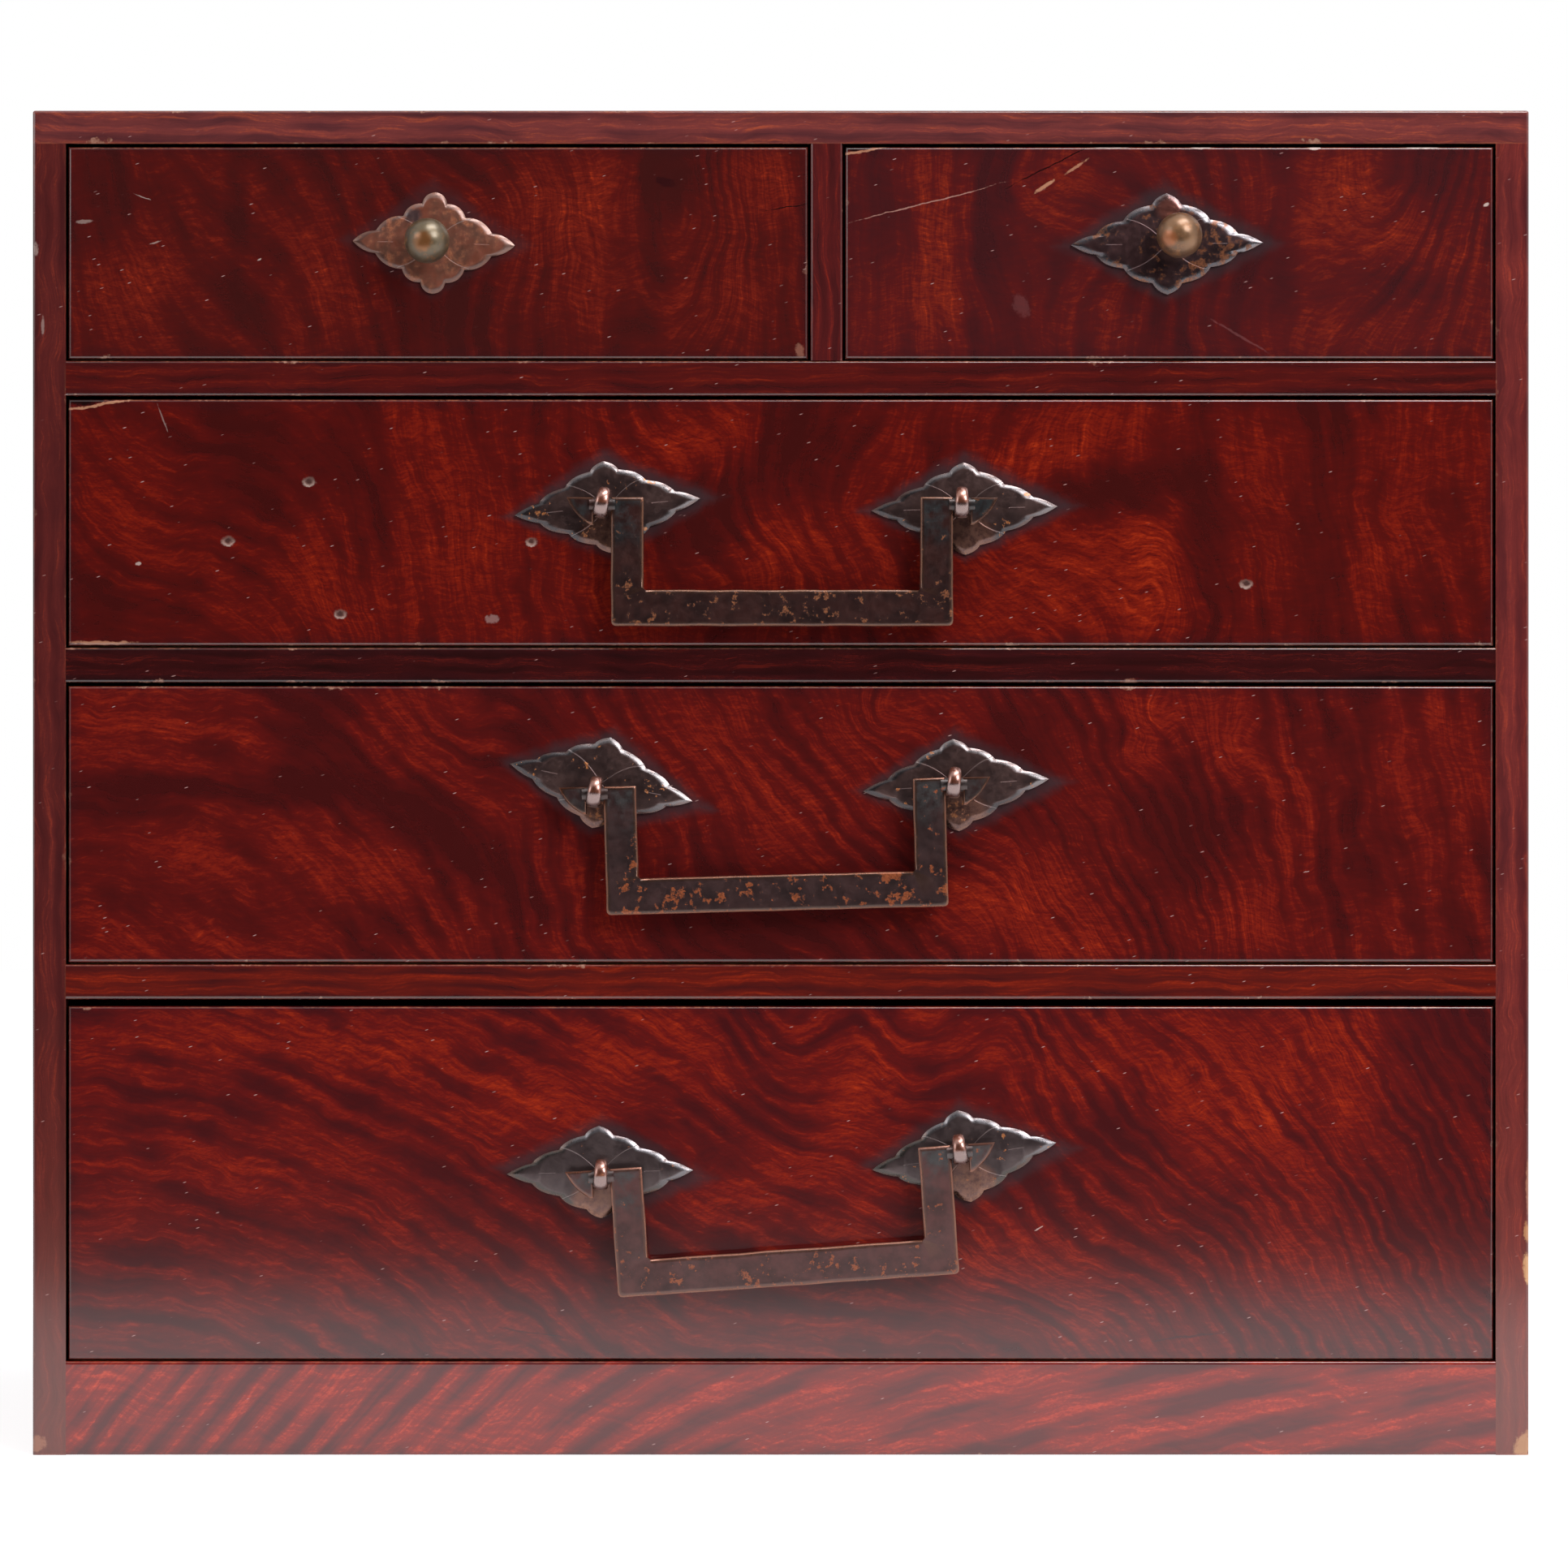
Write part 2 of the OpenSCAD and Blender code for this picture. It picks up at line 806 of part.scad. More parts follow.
// Profile of an eye pin in Y and Z, with its eye's middle at the origin:
// the strap goes round the eye, back through the front, and is clinched
module eye_profile() {
    face = eye_reach + front_t;
    difference() {
        circle(eye_r);
        circle(eye_in_r);
    }
    for (side = [0, 1]) {
        mirror([0, side]) {
            translate([eye_r - strap_t / 2, 0])
                square([face - eye_r + strap_t / 2, leg_t]);
            intersection() {
                translate([face, leg_t])
                    circle(leg_t);
                translate([face, 0])
                    square(leg_t);
            }
            translate([face, leg_t])
                square([leg_t, clinch_l - leg_t]);
        }
    }
}

module eye_pin() {
    translate([-strap_w / 2, -eye_reach, neck_sag])
        along_x(strap_w)
            eye_profile();
}

// The slots of both eye pins of drawer i through plates and front
module eye_slots(i) {
    half_w = strap_w / 2 + pin_fit;
    half_h = leg_t + pin_fit;
    at_bail(i)
        for (x = [-eye_x, eye_x]) {
            block(
                [x - half_w, -plate_t - over, neck_sag - half_h],
                [x + half_w, front_t + over, neck_sag + half_h]
            );
        }
}

module bail_plates(i) {
    tilt = BAIL_AT[i - SECOND][2];
    difference() {
        at_bail(i)
            for (end = [0, 1]) {
                set = BAIL_PLATES[i - SECOND][end];
                translate([(end * 2 - 1) * eye_x, 0, 0])
                    rotate([0, tilt, 0])
                        translate([set[0], 0, set[1]])
                            rotate([0, -set[2], 0])
                                plate_solid(bail_plate_w, bail_plate_h, BAIL_CUSPS, BAIL_BOWS);
            }
        eye_slots(i);
    }
}

module eye_pins(i) {
    at_bail(i)
        for (x = [-eye_x, eye_x]) {
            translate([x, 0, 0])
                eye_pin();
        }
}

// A rectangle with its corners cut off at 45 degrees
module chamfered(w, h, c) {
    polygon([[c, 0], [w - c, 0], [w, c], [w, h - c], [w - c, h], [c, h], [0, h - c], [0, c]]);
}

// A straight bar of a bail, lying on z = 0, with its front and back edges
// chamfered all round
module bail_bar(w, h, corners) {
    intersection() {
        linear_extrude(bail_t)
            eased(w, h, bail_corner_r, corners);
        along_x(w)
            chamfered(h, bail_t, bail_chamfer);
        translate([0, h, 0])
            rotate([90, 0, 0])
                linear_extrude(h)
                    chamfered(w, bail_t, bail_chamfer);
    }
}

// The pointed end beyond the right-hand eye
module bail_tip() {
    far = [tip_x + tip_l, arm_rise];
    low = [tip_x + bail_corner_r / 2, arm_rise - tip_h];
    polygon(concat(
        [[tip_x, arm_rise]], [[tip_x, arm_rise - tip_h]],
        lobe(low, far, -tip_bow), [far]
    ));
}

// A flat square bail whose round necks turn in the two eyes
module bail() {
    translate([0, bail_t / 2 - eye_reach, 0])
        rotate([90, 0, 0]) {
            translate([-bail_w / 2, -bail_drop, 0])
                bail_bar(bail_w, bar_h, [1, 1, 0, 0]);
            for (side = [0, 1]) {
                mirror([side, 0, 0]) {
                    translate([-bail_w / 2, -bail_drop, 0])
                        bail_bar(arm_w, bail_drop + arm_rise, [1, 0, 0, 0]);
                    linear_extrude(bail_t)
                        bail_tip();
                }
            }
        }
    for (x = [-eye_x, eye_x]) {
        translate([x - neck_l / 2 - bail_chamfer, -eye_reach, 0])
            rotate([0, 90, 0])
                cylinder(h = neck_l + 2 * bail_chamfer, r = neck_r);
    }
}

module upper_left_front() {
    color(LACQUER)
        drawer_front(UPPER_LEFT)
            knob_passage(UPPER_LEFT);
}

module upper_left_side_l() {
    color(SOFTWOOD)
        drawer_side(UPPER_LEFT, 0);
}

module upper_left_side_r() {
    color(SOFTWOOD)
        drawer_side(UPPER_LEFT, front_w(UPPER_LEFT) - box_side_t);
}

module upper_left_back() {
    color(SOFTWOOD)
        drawer_back(UPPER_LEFT);
}

module upper_left_bottom() {
    color(SOFTWOOD)
        drawer_bottom(UPPER_LEFT);
}

module upper_left_pegs() {
    color(PEG_WOOD)
        drawer_pegs(UPPER_LEFT);
}

module upper_left_plate() {
    color(RED_COPPER)
        knob_plate(UPPER_LEFT, left_plate_w, left_plate_h, ROUND_CUSPS, ROUND_BOWS);
}

module upper_left_knob() {
    color(BRONZE)
        at_knob(UPPER_LEFT)
            knob();
}

module upper_right_front() {
    color(LACQUER)
        drawer_front(UPPER_RIGHT)
            knob_passage(UPPER_RIGHT);
}

module upper_right_side_l() {
    color(SOFTWOOD)
        drawer_side(UPPER_RIGHT, 0);
}

module upper_right_side_r() {
    color(SOFTWOOD)
        drawer_side(UPPER_RIGHT, front_w(UPPER_RIGHT) - box_side_t);
}

module upper_right_back() {
    color(SOFTWOOD)
        drawer_back(UPPER_RIGHT);
}

module upper_right_bottom() {
    color(SOFTWOOD)
        drawer_bottom(UPPER_RIGHT);
}

module upper_right_pegs() {
    color(PEG_WOOD)
        drawer_pegs(UPPER_RIGHT);
}

module upper_right_plate() {
    color(DARK_COPPER)
        knob_plate(UPPER_RIGHT, right_plate_w, right_plate_h, POINTED_CUSPS, POINTED_BOWS);
}

module upper_right_knob() {
    color(BRONZE)
        at_knob(UPPER_RIGHT)
            knob();
}

module second_front() {
    color(LACQUER)
        drawer_front(SECOND)
            eye_slots(SECOND);
}

module second_side_l() {
    color(SOFTWOOD)
        drawer_side(SECOND, 0);
}

module second_side_r() {
    color(SOFTWOOD)
        drawer_side(SECOND, front_w(SECOND) - box_side_t);
}

module second_back() {
    color(SOFTWOOD)
        drawer_back(SECOND);
}

module second_bottom() {
    color(SOFTWOOD)
        drawer_bottom(SECOND);
}

module second_pegs() {
    color(PEG_WOOD)
        drawer_pegs(SECOND);
}

module second_plates() {
    color(DARK_COPPER)
        bail_plates(SECOND);
}

module second_eye_pins() {
    color(RED_COPPER)
        eye_pins(SECOND);
}

module second_bail() {
    color(DARK_COPPER)
        at_bail(SECOND)
            bail();
}

module third_front() {
    color(LACQUER)
        drawer_front(THIRD)
            eye_slots(THIRD);
}

module third_side_l() {
    color(SOFTWOOD)
        drawer_side(THIRD, 0);
}

module third_side_r() {
    color(SOFTWOOD)
        drawer_side(THIRD, front_w(THIRD) - box_side_t);
}

module third_back() {
    color(SOFTWOOD)
        drawer_back(THIRD);
}

module third_bottom() {
    color(SOFTWOOD)
        drawer_bottom(THIRD);
}

module third_pegs() {
    color(PEG_WOOD)
        drawer_pegs(THIRD);
}

module third_plates() {
    color(DARK_COPPER)
        bail_plates(THIRD);
}

module third_eye_pins() {
    color(RED_COPPER)
        eye_pins(THIRD);
}

module third_bail() {
    color(DARK_COPPER)
        at_bail(THIRD)
            bail();
}

module lowest_front() {
    color(LACQUER)
        drawer_front(LOWEST)
            eye_slots(LOWEST);
}

module lowest_side_l() {
    color(SOFTWOOD)
        drawer_side(LOWEST, 0);
}

module lowest_side_r() {
    color(SOFTWOOD)
        drawer_side(LOWEST, front_w(LOWEST) - box_side_t);
}

module lowest_back() {
    color(SOFTWOOD)
        drawer_back(LOWEST);
}

module lowest_bottom() {
    color(SOFTWOOD)
        drawer_bottom(LOWEST);
}

module lowest_pegs() {
    color(PEG_WOOD)
        drawer_pegs(LOWEST);
}

module lowest_plates() {
    color(DARK_COPPER)
        bail_plates(LOWEST);
}

module lowest_eye_pins() {
    color(RED_COPPER)
        eye_pins(LOWEST);
}

module lowest_bail() {
    color(DARK_COPPER)
        at_bail(LOWEST)
            bail();
}

top_panel();
side_left();
side_right();
back_panel();
bottom_panel();
base_rail();
rail_lower();
rail_middle();
rail_upper();
shelf_lower();
shelf_middle();
shelf_upper();
stile();
divider();
case_pegs();
upper_left_front();
upper_left_side_l();
upper_left_side_r();
upper_left_back();
upper_left_bottom();
upper_left_pegs();
upper_right_front();
upper_right_side_l();
upper_right_side_r();
upper_right_back();
upper_right_bottom();
upper_right_pegs();
second_front();
second_side_l();
second_side_r();
second_back();
second_bottom();
second_pegs();
third_front();
third_side_l();
third_side_r();
third_back();
third_bottom();
third_pegs();
lowest_front();
lowest_side_l();
lowest_side_r();
lowest_back();
lowest_bottom();
lowest_pegs();
upper_left_plate();
upper_left_knob();
upper_right_plate();
upper_right_knob();
second_plates();
second_eye_pins();
second_bail();
third_plates();
third_eye_pins();
third_bail();
lowest_plates();
lowest_eye_pins();
lowest_bail();
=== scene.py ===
import math
import bpy
import bmesh
from mathutils import Matrix, Vector, noise


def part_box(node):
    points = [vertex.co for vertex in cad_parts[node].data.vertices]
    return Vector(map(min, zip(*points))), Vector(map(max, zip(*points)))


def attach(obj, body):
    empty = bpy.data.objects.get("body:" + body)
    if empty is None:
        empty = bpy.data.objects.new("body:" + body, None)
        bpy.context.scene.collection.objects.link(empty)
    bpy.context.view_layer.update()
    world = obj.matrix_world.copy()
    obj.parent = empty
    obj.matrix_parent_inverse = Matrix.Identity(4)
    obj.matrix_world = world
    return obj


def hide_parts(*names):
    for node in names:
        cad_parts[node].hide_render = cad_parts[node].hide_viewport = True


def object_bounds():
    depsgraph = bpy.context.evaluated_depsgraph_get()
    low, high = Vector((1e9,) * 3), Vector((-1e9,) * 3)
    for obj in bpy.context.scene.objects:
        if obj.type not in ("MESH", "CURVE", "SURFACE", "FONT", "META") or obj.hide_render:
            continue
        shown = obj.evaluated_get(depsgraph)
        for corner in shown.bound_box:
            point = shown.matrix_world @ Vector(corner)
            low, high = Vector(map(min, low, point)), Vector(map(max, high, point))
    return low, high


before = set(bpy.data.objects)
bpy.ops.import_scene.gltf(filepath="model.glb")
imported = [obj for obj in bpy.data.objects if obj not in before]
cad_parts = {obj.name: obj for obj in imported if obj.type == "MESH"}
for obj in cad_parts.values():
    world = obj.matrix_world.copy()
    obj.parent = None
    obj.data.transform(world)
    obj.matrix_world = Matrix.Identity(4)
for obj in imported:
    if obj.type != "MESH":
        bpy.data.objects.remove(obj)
cad_low, cad_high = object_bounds()
MM = 0.001
FRONT_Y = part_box("rail_upper")[0].y
# How far the rings drift and the fibres stray, and how many millimetres a UV map's unit is
DRIFT_MM, STRAY_MM, FACE_UNIT = 9, 12, 100
# How many half widths a tone reaches, and how much of a bright and of a dark one shows
TONE_REACH, BRIGHT_SHARE, DARK_SHARE = 1.8, 0.5, 0.75

# Camera: square to the front, level with the middle drawer
STAND_OFF, CAMERA_X, CAMERA_Z = 1.6, 0.00078, 0.16145
SENSOR, WIDTH_SEEN = 36, 0.3772
cam = bpy.data.objects.new("camera", bpy.data.cameras.new("camera"))
bpy.context.scene.collection.objects.link(cam)
cam.location = (CAMERA_X, FRONT_Y - STAND_OFF, CAMERA_Z)
cam.rotation_euler = (math.pi / 2, 0, 0)
cam.data.sensor_fit = "HORIZONTAL"
cam.data.sensor_width = SENSOR
cam.data.lens = STAND_OFF * SENSOR / WIDTH_SEEN
bpy.context.scene.camera = cam
bpy.context.scene.view_settings.view_transform = "Standard"


def shade(hex_colour):
    """A colour as a screen shows it, for a shader's socket."""
    parts = [int(hex_colour[i:i + 2], 16) / 255 for i in (1, 3, 5)]
    return tuple(c / 12.92 if c <= 0.04045 else ((c + 0.055) / 1.055) ** 2.4 for c in parts) + (1,)


class Value:
    """A number that varies over a surface. It adds, multiplies and compares."""

    def __init__(self, finish, socket):
        self.finish, self.socket = finish, socket

    def __add__(self, other):
        return self.finish.math("ADD", self, other)

    __radd__ = __add__

    def __sub__(self, other):
        return self.finish.math("SUBTRACT", self, other)

    def __rsub__(self, other):
        return self.finish.math("SUBTRACT", other, self)

    def __mul__(self, other):
        return self.finish.math("MULTIPLY", self, other)

    __rmul__ = __mul__

    def __truediv__(self, other):
        return self.finish.math("DIVIDE", self, other)

    def least(self, other):
        return self.finish.math("MINIMUM", self, other)

    def most(self, other):
        return self.finish.math("MAXIMUM", self, other)

    def size(self):
        return self.finish.math("ABSOLUTE", self)

    def ramp(self, low, high, a=0.0, b=1.0):
        """From a where the number is low to b where it is high, smoothly."""
        n = self.finish.node("ShaderNodeMapRange")
        n.interpolation_type = "SMOOTHSTEP"
        self.finish.link(self, n.inputs["Value"])
        for name, v in (("From Min", low), ("From Max", high), ("To Min", a), ("To Max", b)):
            self.finish.link(v, n.inputs[name])
        return Value(self.finish, n.outputs["Result"])


class Finish:
    """A material, with the few kinds of node that the finishes here are made of."""

    def __init__(self, name, **constants):
        self.material = bpy.data.materials.new(name)
        self.material.use_nodes = True
        self.tree = self.material.node_tree
        self.shader = self.tree.nodes["Principled BSDF"]
        for socket, v in constants.items():
            self.shader.inputs[socket.replace("_", " ")].default_value = v
        place = self.node("ShaderNodeTexCoord")
        scale = self.node("ShaderNodeVectorMath", operation="SCALE")
        scale.inputs["Scale"].default_value = 1000
        self.tree.links.new(place.outputs["Object"], scale.inputs[0])
        self.place = scale.outputs[0]
        split = self.node("ShaderNodeSeparateXYZ")
        self.tree.links.new(self.place, split.inputs[0])
        self.x, self.y, self.z = (Value(self, s) for s in split.outputs)

    def node(self, kind, **settings):
        n = self.tree.nodes.new(kind)
        for k, v in settings.items():
            setattr(n, k, v)
        return n

    def link(self, v, socket):
        if isinstance(v, Value):
            self.tree.links.new(v.socket, socket)
        elif hasattr(v, "is_output"):
            self.tree.links.new(v, socket)
        else:
            socket.default_value = v

    def math(self, operation, a, b=None, c=None):
        n = self.node("ShaderNodeMath", operation=operation)
        for socket, v in zip(n.inputs, (a, b, c)):
            if v is not None:
                self.link(v, socket)
        return Value(self, n.outputs[0])

    def vector(self, x, y, z):
        n = self.node("ShaderNodeCombineXYZ")
        for socket, v in zip(n.inputs, (x, y, z)):
            self.link(v, socket)
        return n.outputs[0]

    def turned(self, vector, at=(0, 0, 0), turn=(0, 0, 0), size=(1, 1, 1)):
        """The place seen from a point, turned in degrees and in units of size."""
        n = self.node("ShaderNodeMapping", vector_type="TEXTURE")
        self.link(vector, n.inputs["Vector"])
        n.inputs["Location"].default_value = at
        n.inputs["Rotation"].default_value = [math.radians(t) for t in turn]
        n.inputs["Scale"].default_value = size
        return n.outputs[0]

    def spot(self, flat, x, z, wide, tall, turn=0):
        """A flat place seen from a spot, in units of the spot's half width and half height."""
        return self.turned(flat, at=(x, z, 0), turn=(0, 0, turn), size=(wide, tall, 1))

    def split(self, vector):
        n = self.node("ShaderNodeSeparateXYZ")
        self.link(vector, n.inputs[0])
        return [Value(self, s) for s in n.outputs]

    def on_face(self):
        """Across and up on the piece's own face, in the units of its UV map."""
        n = self.node("ShaderNodeUVMap", uv_map="flat")
        across, up, _ = self.split(n.outputs[0])
        return across, up

    def noise(self, vector, scale, detail, rough):
        """Cloudy variation about 0.5."""
        n = self.node("ShaderNodeTexNoise")
        self.link(vector, n.inputs["Vector"])
        n.inputs["Scale"].default_value = scale
        n.inputs["Detail"].default_value = detail
        n.inputs["Roughness"].default_value = rough
        return Value(self, n.outputs[0])

    def cells(self, vector):
        """Distance from scattered points, and a number of its own for each."""
        n = self.node("ShaderNodeTexVoronoi", feature="F1")
        self.link(vector, n.inputs["Vector"])
        n.inputs["Scale"].default_value = 1.0
        first = self.split(n.outputs["Color"])[0]
        return Value(self, n.outputs["Distance"]), first

    def blend(self, share, a, b):
        """Colour a where share is 0, and b where it is 1."""
        n = self.node("ShaderNodeMix", data_type="RGBA")
        n.clamp_factor = True
        sockets = [s for s in n.inputs if s.enabled]
        self.link(share, sockets[0])
        self.link(shade(a) if isinstance(a, str) else a, sockets[1])
        self.link(shade(b) if isinstance(b, str) else b, sockets[2])
        return [s for s in n.outputs if s.enabled][0]

    def set(self, socket, v):
        self.link(v, self.shader.inputs[socket])

    def relief(self, height, depth_mm, strength):
        n = self.node("ShaderNodeBump")
        n.inputs["Strength"].default_value = strength
        n.inputs["Distance"].default_value = depth_mm * MM
        self.link(height, n.inputs["Height"])
        self.tree.links.new(n.outputs[0], self.shader.inputs["Normal"])


# Figure of the wood on each front, read off the photo.
# Places are in photo pixels from the front's upper left corner, and so are half widths and heights.
# seen: the front's width and height. run: rise of the growth rings along x and along z.
# spacing: millimetres from ring to ring. bends: place along x, softness in mm, extra rise.
# folds: x, y, half width, half height, turn, lift in mm, tilt along, tilt across.
# tones: x, y, half width, half height, turn, and how much brighter.
CASE_SEEN = 1844
PIXEL = (cad_high[0] - cad_low[0]) / MM / CASE_SEEN
FIGURE = {
    "lowest": {
        "seen": (1752, 435), "run": (0.0, 1.0), "spacing": 8.0,
        "bends": [(130, 25, 0.5), (1180, 15, 0.55), (1520, 20, 0.8)],
        "folds": [
            (960, 420, 330, 170, 0, 0, -0.5, 0), (880, 40, 55, 120, 0, 15, 0, 0),
            (1080, 60, 110, 120, 0, 0, -0.7, 0), (980, 30, 40, 90, 0, -5, 0, 0),
            (1150, 20, 45, 90, 0, -9, 0, 0), (1290, 300, 160, 60, 0, 5, -0.6, 0),
            (60, 300, 260, 160, 0, 0, -0.12, 0),
        ],
        "tones": [
            (60, 40, 60, 40, 0, 0.4), (300, 40, 150, 30, -12, 0.6), (560, 110, 120, 30, -30, 0.7),
            (740, 60, 110, 50, -30, 0.8), (930, 100, 70, 70, 0, 0.5), (1050, 50, 80, 50, 0, 0.5),
            (1200, 90, 80, 60, 0, 0.6), (1400, 120, 90, 60, -30, 0.8), (1530, 60, 60, 60, 0, 0.5),
            (900, 230, 90, 50, -20, 0.5), (1150, 290, 90, 40, 0, 0.4), (1500, 300, 60, 40, 0, 0.5),
            (200, 190, 120, 30, -10, 0.3), (830, 120, 60, 90, -50, -0.4), (1110, 110, 50, 60, 0, -0.4),
            (1300, 150, 60, 40, 0, -0.5), (1700, 100, 60, 150, 0, -0.3),
        ],
    },
    "third": {
        "seen": (1752, 339), "run": (0.0, 1.0), "spacing": 9.0,
        "bends": [(230, 15, 0.75), (560, 25, 0.7), (1500, 25, 0.3)],
        "folds": [
            (1650, 170, 330, 2000, 0, 0, 0, -0.85), (1650, 170, 250, 2000, 0, 0, -0.9, 0),
            (170, 330, 150, 90, 0, 14, 0.2, 0), (470, 45, 70, 70, 0, 12, 0, 0),
            (1000, 30, 45, 35, 0, 12, 0, 0), (900, 320, 330, 110, 0, 0, -0.9, 0),
            (1330, 25, 30, 25, 0, 9, 0, 0), (1328, 85, 30, 25, 0, 9, 0, 0), (1430, 75, 35, 35, 0, 9, 0, 0),
            (1170, 210, 80, 90, 0, -8, 0, 0), (560, 120, 60, 110, 0, -5, 0, 0),
        ],
        "tones": [
            (110, 50, 110, 40, 0, 0.7), (450, 50, 60, 50, 0, 0.6), (250, 200, 180, 40, -8, 0.6),
            (100, 315, 120, 25, 0, 0.5), (620, 250, 60, 50, -40, 0.6), (790, 60, 60, 60, -50, 0.5),
            (900, 150, 60, 80, -60, 0.6), (1000, 30, 50, 30, 0, 0.5), (1150, 260, 100, 40, 0, 0.8),
            (1330, 25, 30, 22, 0, 0.9), (1328, 85, 32, 24, 0, 1), (1430, 75, 40, 40, 0, 0.7),
            (1450, 290, 50, 40, 0, 0.8), (1250, 320, 60, 20, 0, 0.6), (1500, 200, 30, 80, 0, 0.6),
            (1690, 60, 50, 60, 0, 0.4), (130, 130, 200, 22, 0, -0.8), (290, 50, 40, 60, 0, -0.6),
            (470, 190, 140, 30, -35, -0.8), (560, 60, 50, 50, 0, -0.5), (1180, 80, 50, 60, 0, -0.7),
            (1380, 180, 60, 60, 0, -0.5), (840, 290, 90, 50, 0, -0.5), (1580, 100, 30, 120, 0, -0.3),
        ],
    },
    "second": {
        "seen": (1752, 304), "run": (1.0, 0.12), "spacing": 8.5,
        "folds": [
            (150, 150, 210, 2000, 0, 0, -0.75, 0.9), (1240, 200, 190, 140, 0, 0, -0.6, 1.0),
            (900, 100, 110, 70, -40, 12, 0, 0), (830, 230, 70, 60, 0, -10, 0, 0),
            (760, 40, 90, 60, 0, 0, -0.6, 1.0), (1345, 225, 30, 60, 0, -6, 0, 0),
            (640, 240, 60, 70, 0, 6, 0, 0), (1650, 120, 90, 130, 0, 6, 0, 0), (980, 110, 30, 90, 0, 4, 0, 0),
        ],
        "tones": [
            (90, 150, 90, 50, 0, 0.6), (50, 40, 60, 30, 0, 0.4), (309, 210, 50, 70, 0, 0.8),
            (450, 150, 60, 150, 0, 0.4), (760, 50, 70, 30, 15, 0.9), (890, 180, 80, 50, 25, 1),
            (700, 250, 50, 50, 0, 0.6), (600, 200, 50, 80, 0, 0.5), (1240, 50, 100, 35, 20, 1),
            (1200, 220, 110, 70, 25, 1), (1340, 230, 40, 60, 0, 1), (1020, 170, 40, 80, 0, 0.4),
            (1460, 70, 60, 50, 0, 0.5), (1640, 140, 30, 140, -20, 0.6), (1500, 220, 40, 60, 0, 0.4),
            (210, 60, 60, 80, 0, -0.5), (350, 90, 40, 100, 0, -0.5), (800, 130, 60, 40, 20, -0.6),
            (900, 60, 50, 60, 0, -0.6), (1270, 120, 80, 25, 10, -0.8), (1400, 150, 25, 160, 0, -0.6),
            (1540, 130, 30, 150, 0, -0.5), (60, 260, 80, 40, 0, -0.4),
        ],
    },
    "upper_left": {
        "seen": (912, 262), "run": (0.9, 0.1), "spacing": 7.5,
        "folds": [
            (765, 60, 70, 190, 0, -34, 0, 0), (200, 130, 200, 2000, 0, 0, -0.5, 0.3),
            (470, 30, 90, 90, 0, 0, -0.6, 0.9), (560, 120, 60, 90, 0, -5, 0, 0),
        ],
        "tones": [
            (60, 190, 70, 40, 0, 0.7), (130, 90, 60, 60, 0, 0.4), (310, 180, 50, 80, 0, 0.7),
            (640, 60, 60, 60, 0, 0.8), (630, 180, 30, 80, 0, 0.6), (560, 170, 40, 80, 0, 0.5),
            (870, 40, 40, 50, 0, 0.8), (770, 180, 60, 40, 0, 0.5), (820, 150, 20, 100, 0, 0.5),
            (205, 60, 12, 80, 0, -0.6), (60, 60, 60, 50, 0, -0.3), (735, 40, 30, 40, 0, -0.8),
            (460, 220, 70, 30, 0, -0.5), (720, 150, 15, 80, 0, -0.5), (650, 240, 60, 25, 0, -0.4),
        ],
    },
    "upper_right": {
        "seen": (794, 262), "run": (0.9, 0.0), "spacing": 7.5,
        "folds": [
            (690, 10, 95, 170, -12, -38, 0, 0), (300, 60, 110, 90, 0, 0, -0.7, 0.8),
            (170, 130, 60, 90, 0, 5, 0, 0), (480, 210, 70, 70, 0, 5, 0, 0),
        ],
        "tones": [
            (110, 100, 30, 120, 0, 0.9), (110, 200, 50, 40, 0, 0.7), (250, 50, 60, 60, 0, 0.5),
            (600, 60, 50, 70, 0, 0.7), (700, 110, 60, 60, 0, 0.6), (300, 180, 60, 50, 0, 0.3),
            (640, 220, 90, 30, 0, 0.4), (760, 200, 40, 60, 0, 0.4), (175, 60, 22, 90, 0, -0.7),
            (40, 80, 30, 80, 0, -0.5), (540, 60, 15, 100, 0, -0.5), (210, 200, 40, 60, 0, -0.5),
            (490, 180, 40, 60, 0, -0.4), (720, 40, 40, 40, 0, -0.4), (680, 170, 60, 25, 0, -0.4),
        ],
    },
    "base": {"seen": (1760, 116), "run": (1.0, -0.8), "spacing": 8.0, "bends": [(649.5, 50, -0.85)]},
}


def fine(mm):
    """A length as closely as it was read: tenths up to 20 mm, and whole millimetres beyond."""
    tenths = round(mm, 1)
    return tenths if abs(tenths) <= 20 else round(tenths)


def from_photo(plan):
    """A front's figure with its places in millimetres from the front's middle."""
    seen_wide, seen_tall = plan["seen"]
    made = dict(plan, bends=[], folds=[], tones=[])
    for x, soft, more in plan.get("bends", ()):
        made["bends"].append((round((x - seen_wide / 2) * PIXEL, 1), soft, more))
    for kind, rounding in (("folds", fine), ("tones", round)):
        for x, y, half_wide, half_tall, *rest in plan.get(kind, ()):
            lengths = (x - seen_wide / 2, seen_tall / 2 - y, half_wide, half_tall)
            made[kind].append([rounding(length * PIXEL) for length in lengths] + rest)
    return made


